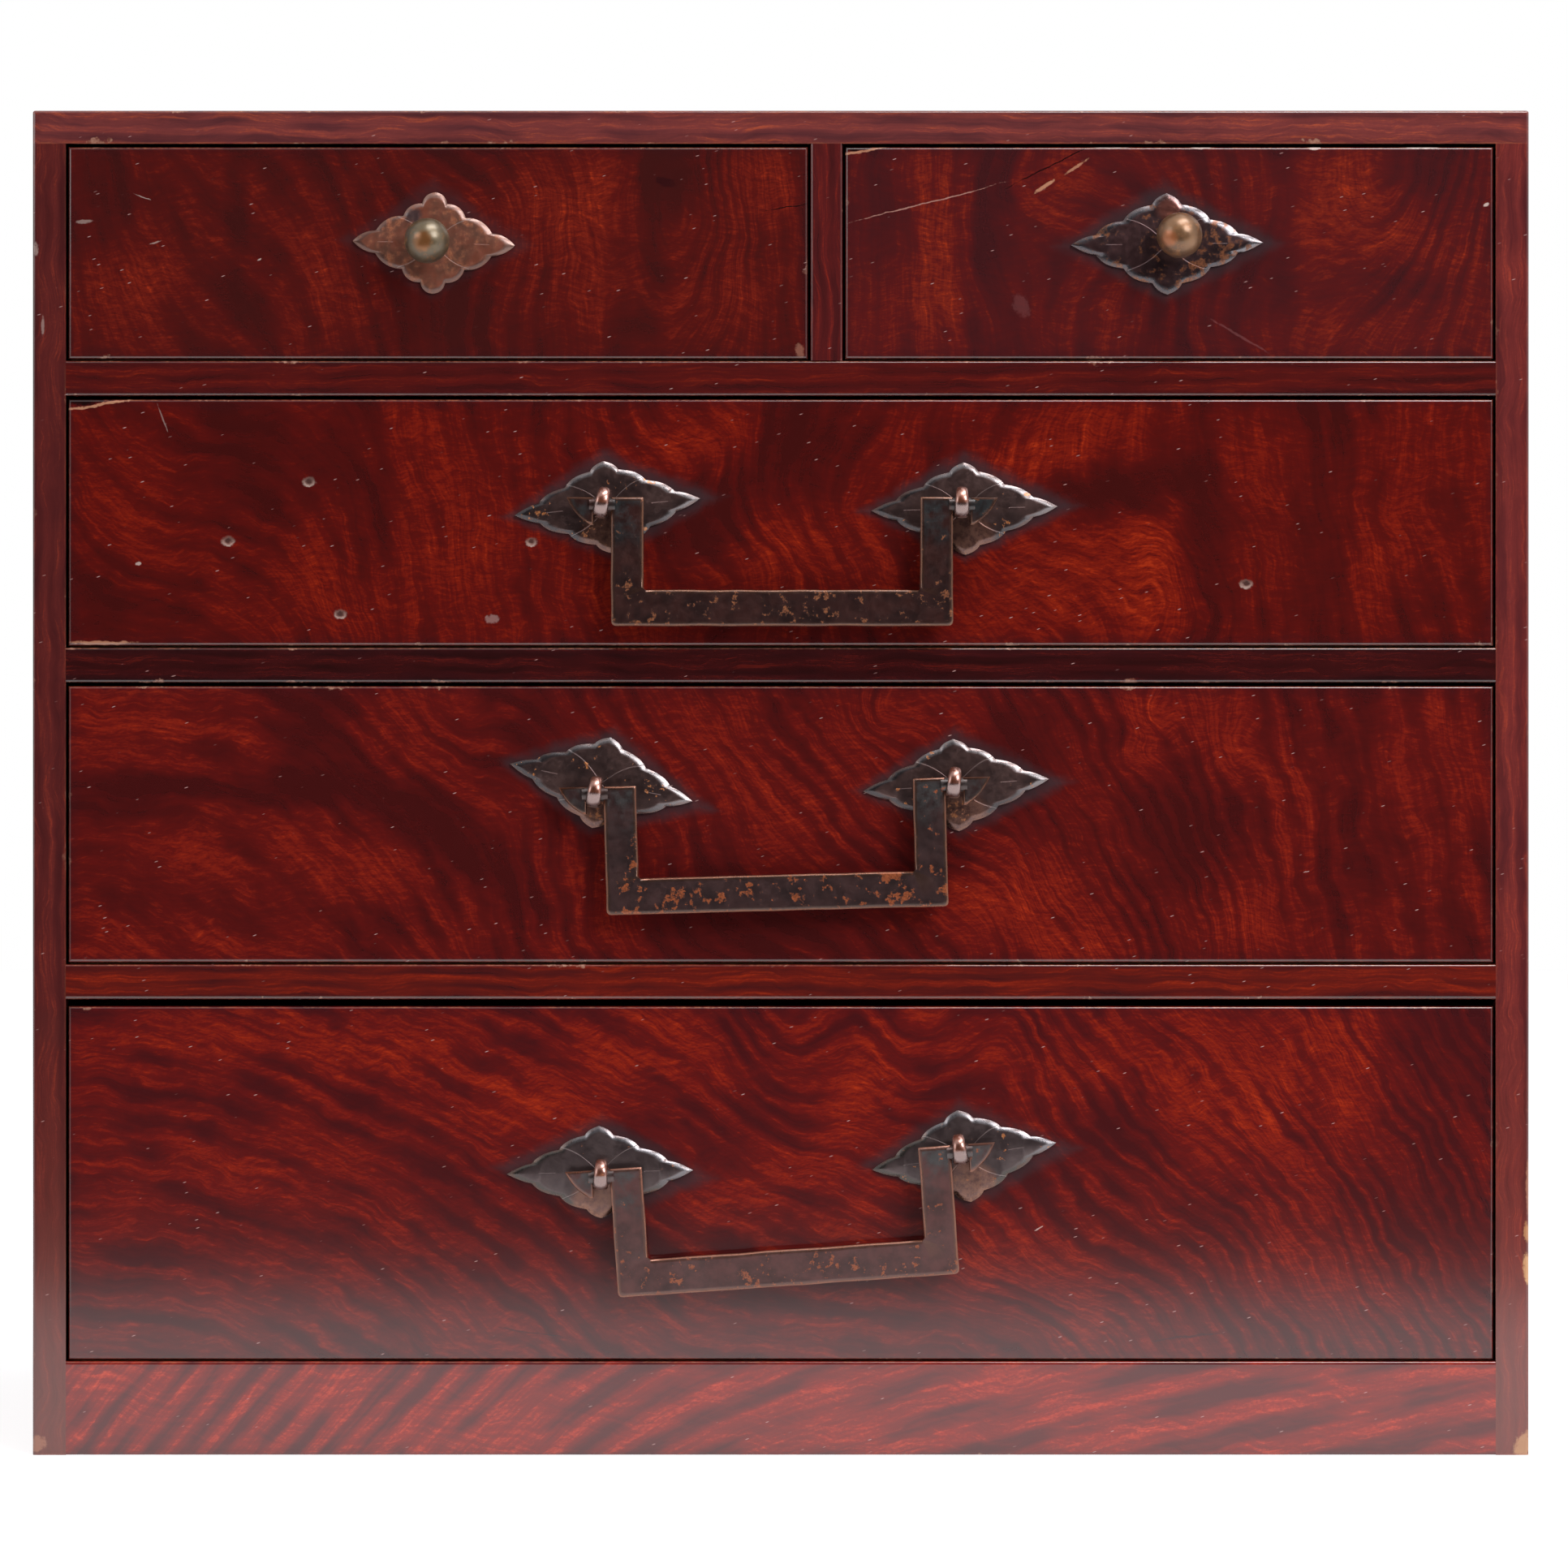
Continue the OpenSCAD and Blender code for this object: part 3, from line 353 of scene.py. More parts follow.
def figured_wood(name, node, ground, dusk, glow, spark="#a03012", figure=None, run=None, spacing=None,
                 fibre="x", long=0.42, bands=1.0, calm=1.0, gritty=0.6, wear=1.0, seed=0.0,
                 halos=(), dents=(), marks=(), foot=None, bare_behind=False):
    """Lacquered wood of one board: growth rings, fibres, worn edges and grime.

    figure is a front's name in FIGURE. A board without one has its own run and spacing.
    marks are x, z, half length, half width, turn, colour and strength of chips and cracks.
    calm is how much the rings wander, bands how strongly they show, and gritty how strong the
    finest grain is. long is how soon the fibres change along the board. foot is the height under
    which the colour turns paler, that paler colour, and how much."""
    f = Finish(name, Coat_Weight=1.0, Coat_Roughness=0.13, Coat_IOR=1.58)
    low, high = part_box(node)
    mid = (low + high) / 2 / MM
    x, y, z = f.x - mid.x, f.y - low.y / MM, f.z - mid.z
    plan = {"run": run, "spacing": spacing, "bends": (), "folds": (), "tones": ()}
    if figure:
        plan = from_photo(FIGURE[figure])

    # The whole pattern wanders a little, so that nothing runs straight
    drift = f.node("ShaderNodeTexNoise")
    f.link(f.turned(f.place, at=(seed, seed, 0)), drift.inputs["Vector"])
    drift.inputs["Scale"].default_value = 0.055
    drift.inputs["Detail"].default_value = 3
    dx, dy, dz = f.split(drift.outputs["Color"])
    wander = DRIFT_MM * calm
    u, v = x + (dx - 0.5) * wander, z + (dz - 0.5) * wander
    flat = f.vector(u, v, 0)

    rings = u * plan["run"][0] + v * plan["run"][1]
    if len(plan["run"]) > 2:
        rings = rings + (y + (dy - 0.5) * wander) * plan["run"][2]
    for at, soft, more in plan["bends"]:
        t = u - at
        rings = rings + (t + f.math("SQRT", t * t + soft * soft)) * (more / 2)
    for cx, cz, wide, tall, turn, lift, along, across in plan["folds"]:
        spot = f.spot(flat, cx, cz, wide, tall, turn)
        square = f.node("ShaderNodeVectorMath", operation="DOT_PRODUCT")
        f.link(spot, square.inputs[0])
        f.link(spot, square.inputs[1])
        near = f.math("POWER", math.exp(-1), Value(f, square.outputs["Value"]))
        if along or across:
            a, b, _ = f.split(spot)
            rings = rings + (a * (along * wide) + b * (across * tall) + lift) * near
        else:
            rings = f.math("MULTIPLY_ADD", near, lift, rings)
    rings = rings / plan["spacing"]

    tone = None
    for cx, cz, wide, tall, turn, more in plan["tones"]:
        spot = f.spot(flat, cx, cz, wide * TONE_REACH, tall * TONE_REACH, turn)
        ball = f.node("ShaderNodeTexGradient", gradient_type="SPHERICAL")
        f.link(spot, ball.inputs[0])
        near = Value(f, ball.outputs[1])
        more = more * (BRIGHT_SHARE if more > 0 else DARK_SHARE)
        tone = near * more if tone is None else f.math("MULTIPLY_ADD", near, more, tone)

    # Broad dark rings that fray and fade, and fine lines beside them
    fray = f.noise(f.turned(f.place, at=(seed, 3, 9), size=(1.6, 1, 1)), 0.16, 2, 0.6)
    wave = f.math("PINGPONG", rings + (fray - 0.5) * (0.8 * calm), 0.5) * 2
    force = f.noise(f.vector(u * 0.035, v * 0.035, rings * 0.5), 1.0, 2, 0.5)
    dark = wave.ramp(0.15, 0.85) * force.ramp(0.32, 0.62)
    fine_lines = f.noise(f.vector(u * 0.03, v * 0.03, rings * 4.5), 1.0, 3, 0.6).ramp(0.36, 0.64)
    streak = f.noise(f.vector(u * 0.09, v * 0.09, rings * 8.5), 1.0, 3, 0.6)

    # Fibres, which run along the board whatever the rings do
    thin = 3.0
    lean = rings * (plan["spacing"] * 0.06)
    if fibre == "x":
        lines = f.vector(x * long, y * thin, (z + lean + (dz - 0.5) * STRAY_MM) * thin)
    else:
        lines = f.vector((x + lean + (dx - 0.5) * STRAY_MM) * thin, y * thin, z * long)
    strand = f.noise(lines, 1.0, 3, 0.65)
    coarse = f.noise(f.turned(lines, size=(2.4, 3.4, 3.4)), 1.0, 3, 0.6)
    patch = f.noise(f.turned(f.place, at=(31 + seed, 7, 11)), 0.06, 4, 0.6)
    grain = f.noise(f.turned(f.place, turn=(0, -15, 0), size=(1.8, 1, 1)), 2.1, 2, 0.7)

    light = (0.575 - dark * (0.48 * bands) + (fine_lines - 0.5) * (0.22 * bands)
             + (patch - 0.5) * (0.1 + 0.8 * calm) + (coarse - 0.5) * 0.5)
    if tone is not None:
        light = light + tone
    body = f.blend(light.ramp(0.0, 0.85), dusk, ground)
    clear = light.ramp(0.1, 0.6)
    detail = (strand - 0.5) + (coarse - 0.5) * 0.8 + (streak - 0.5) * 1.3 + (grain - 0.5) * gritty
    lit = light + detail * clear
    body = f.blend(lit.ramp(0.5, 1.35) * 0.85, body, glow)
    body = f.blend(lit.ramp(1.05, 1.6) * 0.6, body, spark)
    body = f.blend((light - lit).ramp(0.1, 0.55) * clear * 0.5, body, dusk)

    # Grime round the metal plates
    for cx, cz, wide, tall, turn, most in halos:
        p, q, _ = f.split(f.spot(f.vector(x, z, 0), cx, cz, wide, tall, turn))
        reach = p.size() + q.size() + (f.noise(f.place, 0.25, 3, 0.6) - 0.5) * 0.3 - (p + q) * 0.05
        body = f.blend(reach.ramp(1.33, 0.95) * most, body, "#33272a")

    # Fine pale scratches that rise to the right
    tick, own = f.cells(f.turned(f.place, turn=(0, -17, 0), size=(5.6, 5.6, 1.2)))
    ticks = tick.ramp(0.11, 0.05) * own.ramp(0.6, 0.9)
    body = f.blend(ticks * 0.75, body, "#b08c88")

    # Wear along the edges, where the lacquer has gone, with a painted highlight along the top edge and
    # painted shade near the edges, where the gaps are
    gaps = [(s - b[0] / MM).least(b[1] / MM - s) for s, b in
            ((f.x, (low.x, high.x)), (f.y, (low.y, high.y)), (f.z, (low.z, high.z)))]
    first, second = gaps[0].least(gaps[1]), gaps[0].most(gaps[1])
    edge = first.most(second.least(gaps[2]))
    chip = f.noise(f.place, 0.09, 4, 0.7)
    grit = f.noise(f.place, 1.1, 3, 0.6)
    # Painted highlight: the pale worn line is painted stronger along the top edge, where light falls from
    # above
    top_edge_highlight = (high.z / MM - f.z).ramp(2.5, 0.8, 0.4, 1.0)
    ends = gaps[0].ramp(0.5, 4.0, 0.35, 1.0)
    line = (edge - (grit - 0.5) * 0.7).ramp(0.45, 0.12) * chip.ramp(0.34, 0.58) * top_edge_highlight
    body = f.blend(line * 0.75 * ends, body, "#a4603e")
    rubbed = (edge - (chip - 0.6) * 9 * wear - (grit - 0.5) * 1.2).ramp(0.25, -0.15)
    body = f.blend(rubbed * 0.7 * ends, body, f.blend(grit.ramp(0.35, 0.7), "#6e3828", "#ae826e"))
    # Painted shade near each edge, in the gaps between the boards
    gap_shade = (edge - (chip - 0.5) * 6).ramp(3.5, 0.2)
    body = f.blend(gap_shade * 0.25, body, "#241014")

    # Chips, gouges and cracks
    crooked = z + (f.noise(f.place, 0.16, 3, 0.6) - 0.5) * 1.6
    near_front = (y + (grit - 0.5) * 3).ramp(3.5, 1.5) if marks else None
    for cx, cz, long_half, wide_half, turn, colour, strength in marks:
        p, q, _ = f.split(f.spot(f.vector(x, crooked, 0), cx, cz, long_half, wide_half, turn))
        share = (p * p + q * q + (grit - 0.5) * 2.6).ramp(1.3, 0.35) * near_front * strength
        body = f.blend(share, body, colour)

    dimple = None
    # Dents: a grey bruise in the lacquer, a painted highlight on the lower rim and painted shade in the upper
    # part of each hollow
    for cx, cz, r in dents:
        p, q, _ = f.split(f.spot(f.vector(x, z, 0), cx, cz, r * 1.15, r * 0.85))
        d = f.math("SQRT", p * p + q * q) + (grit - 0.5) * 0.9
        body = f.blend(d.ramp(1.3, 0.6) * 0.6, body, "#7a645c")
        body = f.blend((d - 0.85).size().ramp(0.35, 0.0) * (q * -0.3 + 0.15).most(0.0), body, "#c8b0a4")
        body = f.blend((d + q * -0.25).ramp(0.7, 0.3) * 0.75, body, "#2a1210")
        hollow = d.ramp(0.3, 1.0)
        dimple = hollow if dimple is None else dimple.least(hollow)

    if foot:
        height, pale, most = foot
        body = f.blend((f.z + (patch - 0.5) * 60).ramp(height, 0, 0, most) * (0.6 + strand * 0.8), body, pale)
    if bare_behind:
        # The lacquer stops at the back of the board
        inside = (y + (chip - 0.5) * 0.4).ramp((high.y - low.y) / MM - 0.5, (high.y - low.y) / MM - 0.2)
        body = f.blend(inside, body, f.blend(strand.ramp(0.35, 0.65), "#a5845c", "#8a6a48"))
    f.set("Base Color", body)
    dull = f.noise(f.place, 0.08, 4, 0.6)
    f.set("Roughness", dull.ramp(0.3, 0.7) * 0.2 + rubbed * 0.25 + 0.34)
    f.shader.inputs["Specular IOR Level"].default_value = 0.0
    ripple = f.noise(f.place, 0.5, 4, 0.6) + strand * 0.25 - rubbed * 0.5 - ticks * 0.3
    if dimple is not None:
        ripple = ripple + dimple * 2.2
    f.relief(ripple, 0.14, 0.55)
    return f.material


def plain_wood(name, ground="#ab8a62", dusk="#866646", along="x", seed=0.0):
    """Bare softwood with straight grain and the grey of age."""
    f = Finish(name, Roughness=0.72)
    f.shader.inputs["Specular IOR Level"].default_value = 0.25
    drift = f.noise(f.turned(f.place, at=(seed, 0, 0)), 0.02, 2, 0.5)
    across, along_grain, sway = 0.35, 0.02, drift * 2.5
    if along == "x":
        scaled = f.vector(f.x * along_grain, f.y * across + sway, f.z * across + sway)
    else:
        scaled = f.vector(f.x * across, f.y * along_grain, f.z * across + sway)
    rings = f.noise(scaled, 1.0, 3, 0.6)
    hair = f.noise(f.turned(scaled, size=(0.12, 0.12, 0.12)), 1.0, 2, 0.6)
    body = f.blend(rings.ramp(0.28, 0.78) * 0.75, ground, dusk)
    body = f.blend(hair.ramp(0.55, 0.8) * 0.5, body, "#6b4a2c")
    stain = f.noise(f.place, 0.03, 4, 0.65)
    body = f.blend(stain.ramp(0.5, 0.75) * 0.45, body, "#6f5844")
    f.set("Base Color", body)
    f.relief(hair + rings * 0.5, 0.12, 0.5)
    return f.material


def aged_metal(name, ground, cloud, edges, warm="#7c4628", bright="#b0703f", rim_polish_and_highlight="#646169",
               dull="#2e2b2e", brown=None, bare=0.0, soft=0.02, crumb=0.7, steady=0.0, metal=0.8,
               rough=0.36, dents=1.0, lines=None, under=0.0, near_eyes=None, floor_reflection=None, blot=None,
               **coat):
    """Beaten copper alloy under a patina, worn through in flecks and bare along its edges.

    The piece's own attribute rim is 0 along its edges and 1 on its face, and its
    UV map flat gives places on its face. lines is half the width and height of the cut
    diamond, and under how strong the painted reflection of the eye pin under its middle is.
    near_eyes colours the top of a bail's arms, and floor_reflection the face under its middle,
    as a painted reflection of the floor. blot is the place, radius and colour of one large stain."""
    f = Finish(name, Metallic=metal, **coat)
    puff = f.noise(f.place, 0.16, 3, 0.6)
    fleck = f.noise(f.place, 0.55, 4, crumb)
    grit = f.noise(f.place, 2.6, 3, 0.6)
    own = f.node("ShaderNodeAttribute", attribute_name="rim")
    rim = Value(f, own.outputs["Fac"])
    body = f.blend(puff.ramp(0.32, 0.68), ground, cloud)
    if lines:
        # Painted light: a plate's rim is painted brighter towards the upper right, where the light falls, and
        # darker on its other sides as painted shade
        p, q = f.on_face()
        lit_rim_share = (p * 3.2 + q * 8 + (puff - 0.5) * 0.5).ramp(-0.1, 0.75)
        rim_polish_and_highlight = f.blend(lit_rim_share, dull, rim_polish_and_highlight)
    body = f.blend(rim.ramp(0.95, 0.55) * 0.85, body, rim_polish_and_highlight)
    copper = f.blend(grit.ramp(0.35, 0.65), warm, bright)
    if near_eyes:
        # Lighter at the top of a bail's arms
        _, up = f.on_face()
        veil = (up * FACE_UNIT + (puff - 0.5) * 12).ramp(-12, 0)
        veil = veil * (fleck + (puff - 0.5) * 1.4).ramp(0.25, 0.75)
        body = f.blend(veil * rim.ramp(0.5, 0.95) * 0.7, body, near_eyes)
    worn = fleck + (puff - 0.5) * 0.9 + (grit - 0.5) * 0.1
    if near_eyes:
        worn = worn - (up * FACE_UNIT).ramp(-24, -12) * 0.08
    worn = worn.ramp(0.7 - soft - bare, 0.7 + soft - bare)
    body = f.blend(worn * 0.85, body, copper)
    frayed = rim + (fleck - 0.5) * (1.4 - steady) + (puff - 0.5) * (1.6 - steady)
    edge = frayed.ramp(0.3 + steady * 0.15, 0.08 + steady * 0.1) * edges
    body = f.blend(edge * 0.8, body, brown or copper)
    rise = puff * (1.4 * dents) + fleck * (0.35 * dents) + worn * -0.25
    if blot or floor_reflection:
        p, q = f.on_face()
        p, q = p * FACE_UNIT, q * FACE_UNIT
        if blot:
            bx, bz, r, colour = blot
            d = ((p - bx) * (p - bx) + (q - bz) * (q - bz)) * (1 / r ** 2) + (fleck - 0.5) * 1.6
            body = f.blend(d.ramp(1.3, 0.2) * 0.85, body, colour)
        # A painted reflection of the floor on the lower half of the face
        if floor_reflection:
            body = f.blend(q.ramp(0.1, -0.5) * 0.85, body, floor_reflection)
    if lines:
        p, down = f.on_face()
        p, down = p * FACE_UNIT, down * FACE_UNIT
        # A painted reflection of the eye pin in the face below a plate's middle
        if under:
            stain = ((p * p * 0.6 + (down + 6.5) * (down + 6.5)) * 0.035 + (fleck - 0.5) * 1.2).ramp(1.3, 0.6)
            body = f.blend(stain * under, body, f.blend(fleck.ramp(0.35, 0.6), "#5e3428", "#8a5a44"))
        p, q = p.size(), down.size()
        far, tall = lines
        length = math.hypot(far, tall)
        bow = f.math("SINE", (p / far).least(1.0) * math.pi) * 0.9
        cut = (p * (tall / length) - q * (far / length) + bow).size() + (p - far).most(0.0)
        vein = q.size() + ((p - far * 1.35).size() - far * 0.2).most(0.0) * 0.6
        cut = cut.least(vein + 0.04)
        cut = cut + (fleck - 0.5) * 0.16
        groove = cut.ramp(0.0, 0.2)
        body = f.blend(groove.ramp(0.6, 0.0) * 0.33, body, "#9c8e8c")
        rise = rise + groove * 0.8 + (cut * 0.5).least(1.4) * -0.5
    f.set("Base Color", body)
    f.set("Roughness", fleck.ramp(0.3, 0.7) * 0.14 + worn * 0.12 + rim.ramp(0.9, 0.5) * -0.1 + (rough - 0.06))
    f.relief(rise, 0.11, 0.7)
    return f.material


def wear(node, material):
    """Puts a finish on a CAD node."""
    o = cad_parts[node]
    for s in o.material_slots:
        s.material = material
    if not o.material_slots:
        o.data.materials.append(material)


# Fronts of the drawers: how strongly the rings show, the grime round the plates, dents, marks and colours
TAN, PALE, CRACK = "#a5735a", "#b9a39b", "#1c0808"
for drawer, bands, halos, dents, marks, (ground, dusk, glow) in (
    ("upper_left", 0.72, [(-1.5, 2.5, 19.5, 12.1, -1.5, 0.4)], (),
     [(84, 11, 5.5, 0.14, 9, CRACK, 0.9), (54.5, 17.2, 2.6, 1.1, -15, "#2a0c0e", 0.9),
      (-85, 7.4, 2.0, 0.5, 5, PALE, 0.3), (87, -23.6, 1.2, 1.6, 0, "#9a6a58", 0.4),
      (-68, 2.5, 1.6, 0.2, 20, PALE, 0.35), (-43, -1.5, 0.7, 0.25, 30, PALE, 0.6),
      (-71, 13.5, 2.2, 0.15, -20, PALE, 0.4)],
     ("#4b100e", "#36100f", "#6a1c11")),
    ("upper_right", 0.72, [(-1.2, 2.0, 23.1, 12.2, 0.7, 0.8)], (),
     [(-58.6, 12, 19, 0.16, 14.6, "#9c7066", 0.75), (-28, 21.3, 13.5, 0.2, 27, CRACK, 0.8),
      (-29.9, 16, 3.0, 0.5, 35, TAN, 0.85), (-22.5, 20.6, 3.2, 0.35, 35, TAN, 0.7),
      (35, 25.2, 1.4, 0.6, 0, PALE, 0.7), (60.8, 25.4, 4.5, 0.4, 0, PALE, 0.6),
      (8, 25.5, 3, 0.35, 0, PALE, 0.5), (-14, 25.5, 5, 0.3, 0, PALE, 0.4),
      (76.3, 11.5, 0.8, 0.5, 30, PALE, 0.8), (-35.6, -12.7, 2.0, 3.0, 20, "#7a4a4a", 0.2),
      (-75.5, 25.4, 7, 1.0, 10, "#180808", 0.95), (-75, 24.2, 7.5, 0.3, 10, TAN, 0.8),
      (17, -20, 8, 0.3, -30, "#7a4a4a", 0.3)],
     ("#4f1313", "#371315", "#702114")),
    ("second", 0.68, [(-41.6, 3.7, 22.4, 11.1, 5.2, 0.8), (44.2, 3.3, 22.4, 11.1, 1.4, 0.8)],
     [(-113.5, 9.8, 1.3), (-133, -4.5, 1.3), (-106, -22, 1.3), (-60, -4.7, 1.2), (112, -14.8, 1.3)],
     [(-166, 29.9, 10, 1.3, 8, "#160808", 0.95), (-165, 28.2, 10, 0.35, 9, TAN, 0.85),
      (-164, -28.9, 8, 0.5, 0, TAN, 0.7), (-148.6, 24.8, 3.5, 0.2, -70, PALE, 0.22),
      (-69.5, -23.3, 1.9, 1.0, 0, "#8a6c68", 0.55), (-154.5, -10, 0.7, 0.5, 0, PALE, 0.6)],
     ("#520e0b", "#380c0b", "#761b0c")),
    ("third", 0.78, [(-43.2, 9.7, 22.4, 11.1, -13, 0.8), (42.2, 9.0, 22.4, 11.1, 2.3, 0.8)], (), (),
     ("#55100e", "#3a0d0d", "#7a1e10")),
    ("lowest", 0.95, [(-43.4, 2.4, 22.4, 11.1, -2.8, 0.7), (44.1, 6.2, 22.4, 11.1, 4.5, 0.7)], (),
     [(62, -11, 1.2, 0.2, 30, PALE, 0.7), (-60, -36, 10, 0.2, -8, "#301214", 0.6),
      (98, -37, 9, 0.3, 6, "#30161a", 0.7)],
     ("#5c1210", "#3b0f11", "#842210")),
):
    calm = 0.7 if "upper" in drawer else 1.0
    wear(drawer + "_front", figured_wood(drawer + "_front_lacquer", drawer + "_front", ground, dusk, glow,
                                         figure=drawer, bands=bands, calm=calm, halos=halos, dents=dents,
                                         marks=marks, bare_behind=True))

# Boards of the case
wear("base_rail", figured_wood("base_lacquer", "base_rail", "#841f18", "#4e191b", "#bc3a20", "#d04c2a",
                               figure="base", wear=0.7, long=0.12, calm=0.25, gritty=1.1))
wear("top_panel", figured_wood("top_lacquer", "top_panel", "#743430", "#442226", "#a24a2c",
                               run=(0.02, 1.0, 0.22), spacing=3.6, wear=1.3, seed=40, bands=0.6,
                               long=0.1, calm=0.35))
for rail, slope, seed, colours in (
    ("lower", 0.01, 90, ("#64180f", "#341011", "#8e2810")),
    ("middle", 0.01, 140, ("#380e0f", "#1e0909", "#58170f", "#64200f")),
    ("upper", -0.01, 190, ("#501210", "#320e0e", "#722010")),
):
    wear("rail_" + rail, figured_wood(rail + "_rail_lacquer", "rail_" + rail, *colours,
                                      run=(slope, 1.0, 0.6), spacing=3.4, seed=seed, bands=0.6,
                                      long=0.08, calm=0.35))
wear("stile", figured_wood("stile_lacquer", "stile", "#541818", "#361213", "#7c2416", run=(1.0, 0.02, 0.6),
                           spacing=3.0, fibre="z", bands=0.6, long=0.12, calm=0.4, seed=240))
for side, seed, marks, colours in (
    ("left", 290, [(-3.2, 130.5, 0.6, 1.6, 0, PALE, 0.35), (-1.5, 112, 0.4, 2.6, 0, PALE, 0.3),
                   (-3, -157, 2.4, 2.0, 20, TAN, 0.6)],
     ("#57201e", "#391516", "#7e2f20")),
    ("right", 340, [(3.6, -115, 1.1, 4.0, 4, "#c09468", 0.95), (3.4, -106, 0.7, 2.6, 0, "#b08058", 0.8),
                    (2.6, -157.5, 2.2, 3.4, -20, "#b48a62", 0.85), (3.8, -95, 0.6, 7, 0, TAN, 0.5)],
     ("#6c2926", "#431a1d", "#913927")),
):
    wear("side_" + side, figured_wood(side + "_side_lacquer", "side_" + side, *colours,
                                      run=(1.0, 0.015, 0.22), spacing=3.8, fibre="z", bands=0.5, long=0.1,
                                      wear=1.2, seed=seed, marks=marks, foot=(120, "#84463a", 0.3),
                                      calm=0.5))

# Unseen boards
bare_across = plain_wood("bare_wood_across", along="x")
bare_deep = plain_wood("bare_wood_deep", along="y", seed=50)
back_wood = plain_wood("back_board_wood", ground="#8a6242", dusk="#5f4029", along="x", seed=90)
peg_wood = plain_wood("peg_wood", ground="#cfae7c", dusk="#a98253", along="y", seed=120)
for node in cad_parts:
    if node == "back_panel":
        wear(node, back_wood)
    elif node.endswith("_pegs"):
        wear(node, peg_wood)
    elif node.startswith("shelf") or node == "bottom_panel" or node.endswith(("_back", "_bottom")):
        wear(node, bare_across)
    elif node == "divider" or "_side_" in node:
        wear(node, bare_deep)

# Metalwork
PLATE_T, LOBE_STEPS = 1.2, 8
# Across a plate's rim: shares of its width, and how deep each step lies under the face
RIM_SHARES, RIM_LOWS = (0.3, 0.4, 0.3), (0.62, 0.32, 0.06, 0.0)
# For one side of a plate: where its notches are, how deep, how far its lobes swell, and how far they lean
SHALLOW = ((0.163, 0.45, 0.745), (0.5, 0.6, 0.5), (0.4, 0.75, 0.7, 0.3), 0.3)
POINTED = ((0.17, 0.47, 0.755), (0.75, 0.85, 0.75), (0.5, 0.95, 0.9, 0.4), 0.25)
ROUND = ((0.17, 0.41, 0.73), (0.65, 0.95, 0.6), (0.75, 1.05, 1.1, 0.65), 0.0)


def lobed_side(a, c, places, cusps, bows, lean):
    """Points of one side of a flower-diamond plate, from its short tip to its long tip."""
    tip, run = Vector((0, c)), Vector((a, -c))
    out = Vector((c, a)).normalized()
    corners = [tip] + [tip + run * s - out * d for s, d in zip(places, cusps)] + [Vector((a, 0))]
    points = []
    for p, q, rise, way in zip(corners, corners[1:], bows, (1, 1, 1, -1)):
        d = (q - p)
        side = Vector((-d.y, d.x)).normalized()
        for k in range(LOBE_STEPS):
            t = k / LOBE_STEPS
            points.append(p + d * t + side * (4 * rise * t * (1 - t) * (1 + way * lean * (2 * t - 1))))
    return points


def piece(name, shape, finish, body, angle=35):
    """An object made of a finished bmesh, riding on a body of the CAD."""
    bmesh.ops.remove_doubles(shape, verts=shape.verts, dist=1e-7)
    bmesh.ops.recalc_face_normals(shape, faces=shape.faces)
    mesh = bpy.data.meshes.new(name)
    shape.to_mesh(mesh)
    shape.free()
    for polygon in mesh.polygons:
        polygon.use_smooth = True
    mesh.set_sharp_from_angle(angle=math.radians(angle))
    mesh.materials.append(finish)
    o = bpy.data.objects.new(name, mesh)
    bpy.context.scene.collection.objects.link(o)
    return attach(o, body)


def rimmed_slab(shape, outline, thick, drop, widths, lows, inwards, back_rim=False):
    """A flat shape in X and Z whose face, towards -Y, has a rounded rim.

    widths are the steps inwards of the rim and lows how far each lies under the face.
    inwards takes x, z, and how far in they lie and shall lie, and gives the new x and z."""
    rim = shape.verts.layers.float.get("rim") or shape.verts.layers.float.new("rim")
    shape.loops.layers.uv.get("flat") or shape.loops.layers.uv.new("flat")
    corners = [shape.verts.new((p[0] * MM, drop * MM, p[1] * MM)) for p in outline]
    around = [shape.edges.new(pair) for pair in zip(corners, corners[1:] + corners[:1])]
    filled = bmesh.ops.triangle_fill(shape, use_beauty=True, edges=around, normal=(0, -1, 0))
    base = [g for g in filled["geom"] if isinstance(g, bmesh.types.BMFace)]
    made = bmesh.ops.extrude_face_region(shape, geom=base, use_keep_orig=True)
    top = [g for g in made["geom"] if isinstance(g, bmesh.types.BMFace)]
    bmesh.ops.translate(shape, vec=(0, -thick * MM, 0), verts=list({v for face in top for v in face.verts}))
    for faces, way, level in ((top, -1, drop - thick), (base, 1, drop)):
        if way > 0 and not back_rim:
            continue
        total, gone = sum(widths), 0.0
        for v in {v for face in faces for v in face.verts}:
            v[rim] = 0.0
            v.co.y = (level - way * lows[0]) * MM
        for width, low in zip(widths, lows[1:]):
            bmesh.ops.inset_region(shape, faces=faces, thickness=0, use_boundary=True)
            before, gone = gone, gone + width
            for v in {v for face in faces for v in face.verts}:
                v[rim] = gone / total
                v.co.y = (level - way * low) * MM
                px, pz = inwards(v.co.x / MM, v.co.z / MM, before, gone)
                v.co.x, v.co.z = px * MM, pz * MM
    places_on_face(shape)


def places_on_face(shape):
    """Writes each corner's X and Z, before the piece is put in place, to its UV map."""
    flat = shape.loops.layers.uv["flat"]
    for face in shape.faces:
        for loop in face.loops:
            loop[flat].uv = (loop.vert.co.x / (FACE_UNIT * MM), loop.vert.co.z / (FACE_UNIT * MM))


def to_heart(cx, cz, reach):
    """Shrinks a shape towards its heart, for one with sharp tips."""
    def inwards(x, z, before, gone):
        keep = (1 - gone / reach) / (1 - before / reach)
        return cx + (x - cx) * keep, cz + (z - cz) * keep
    return inwards


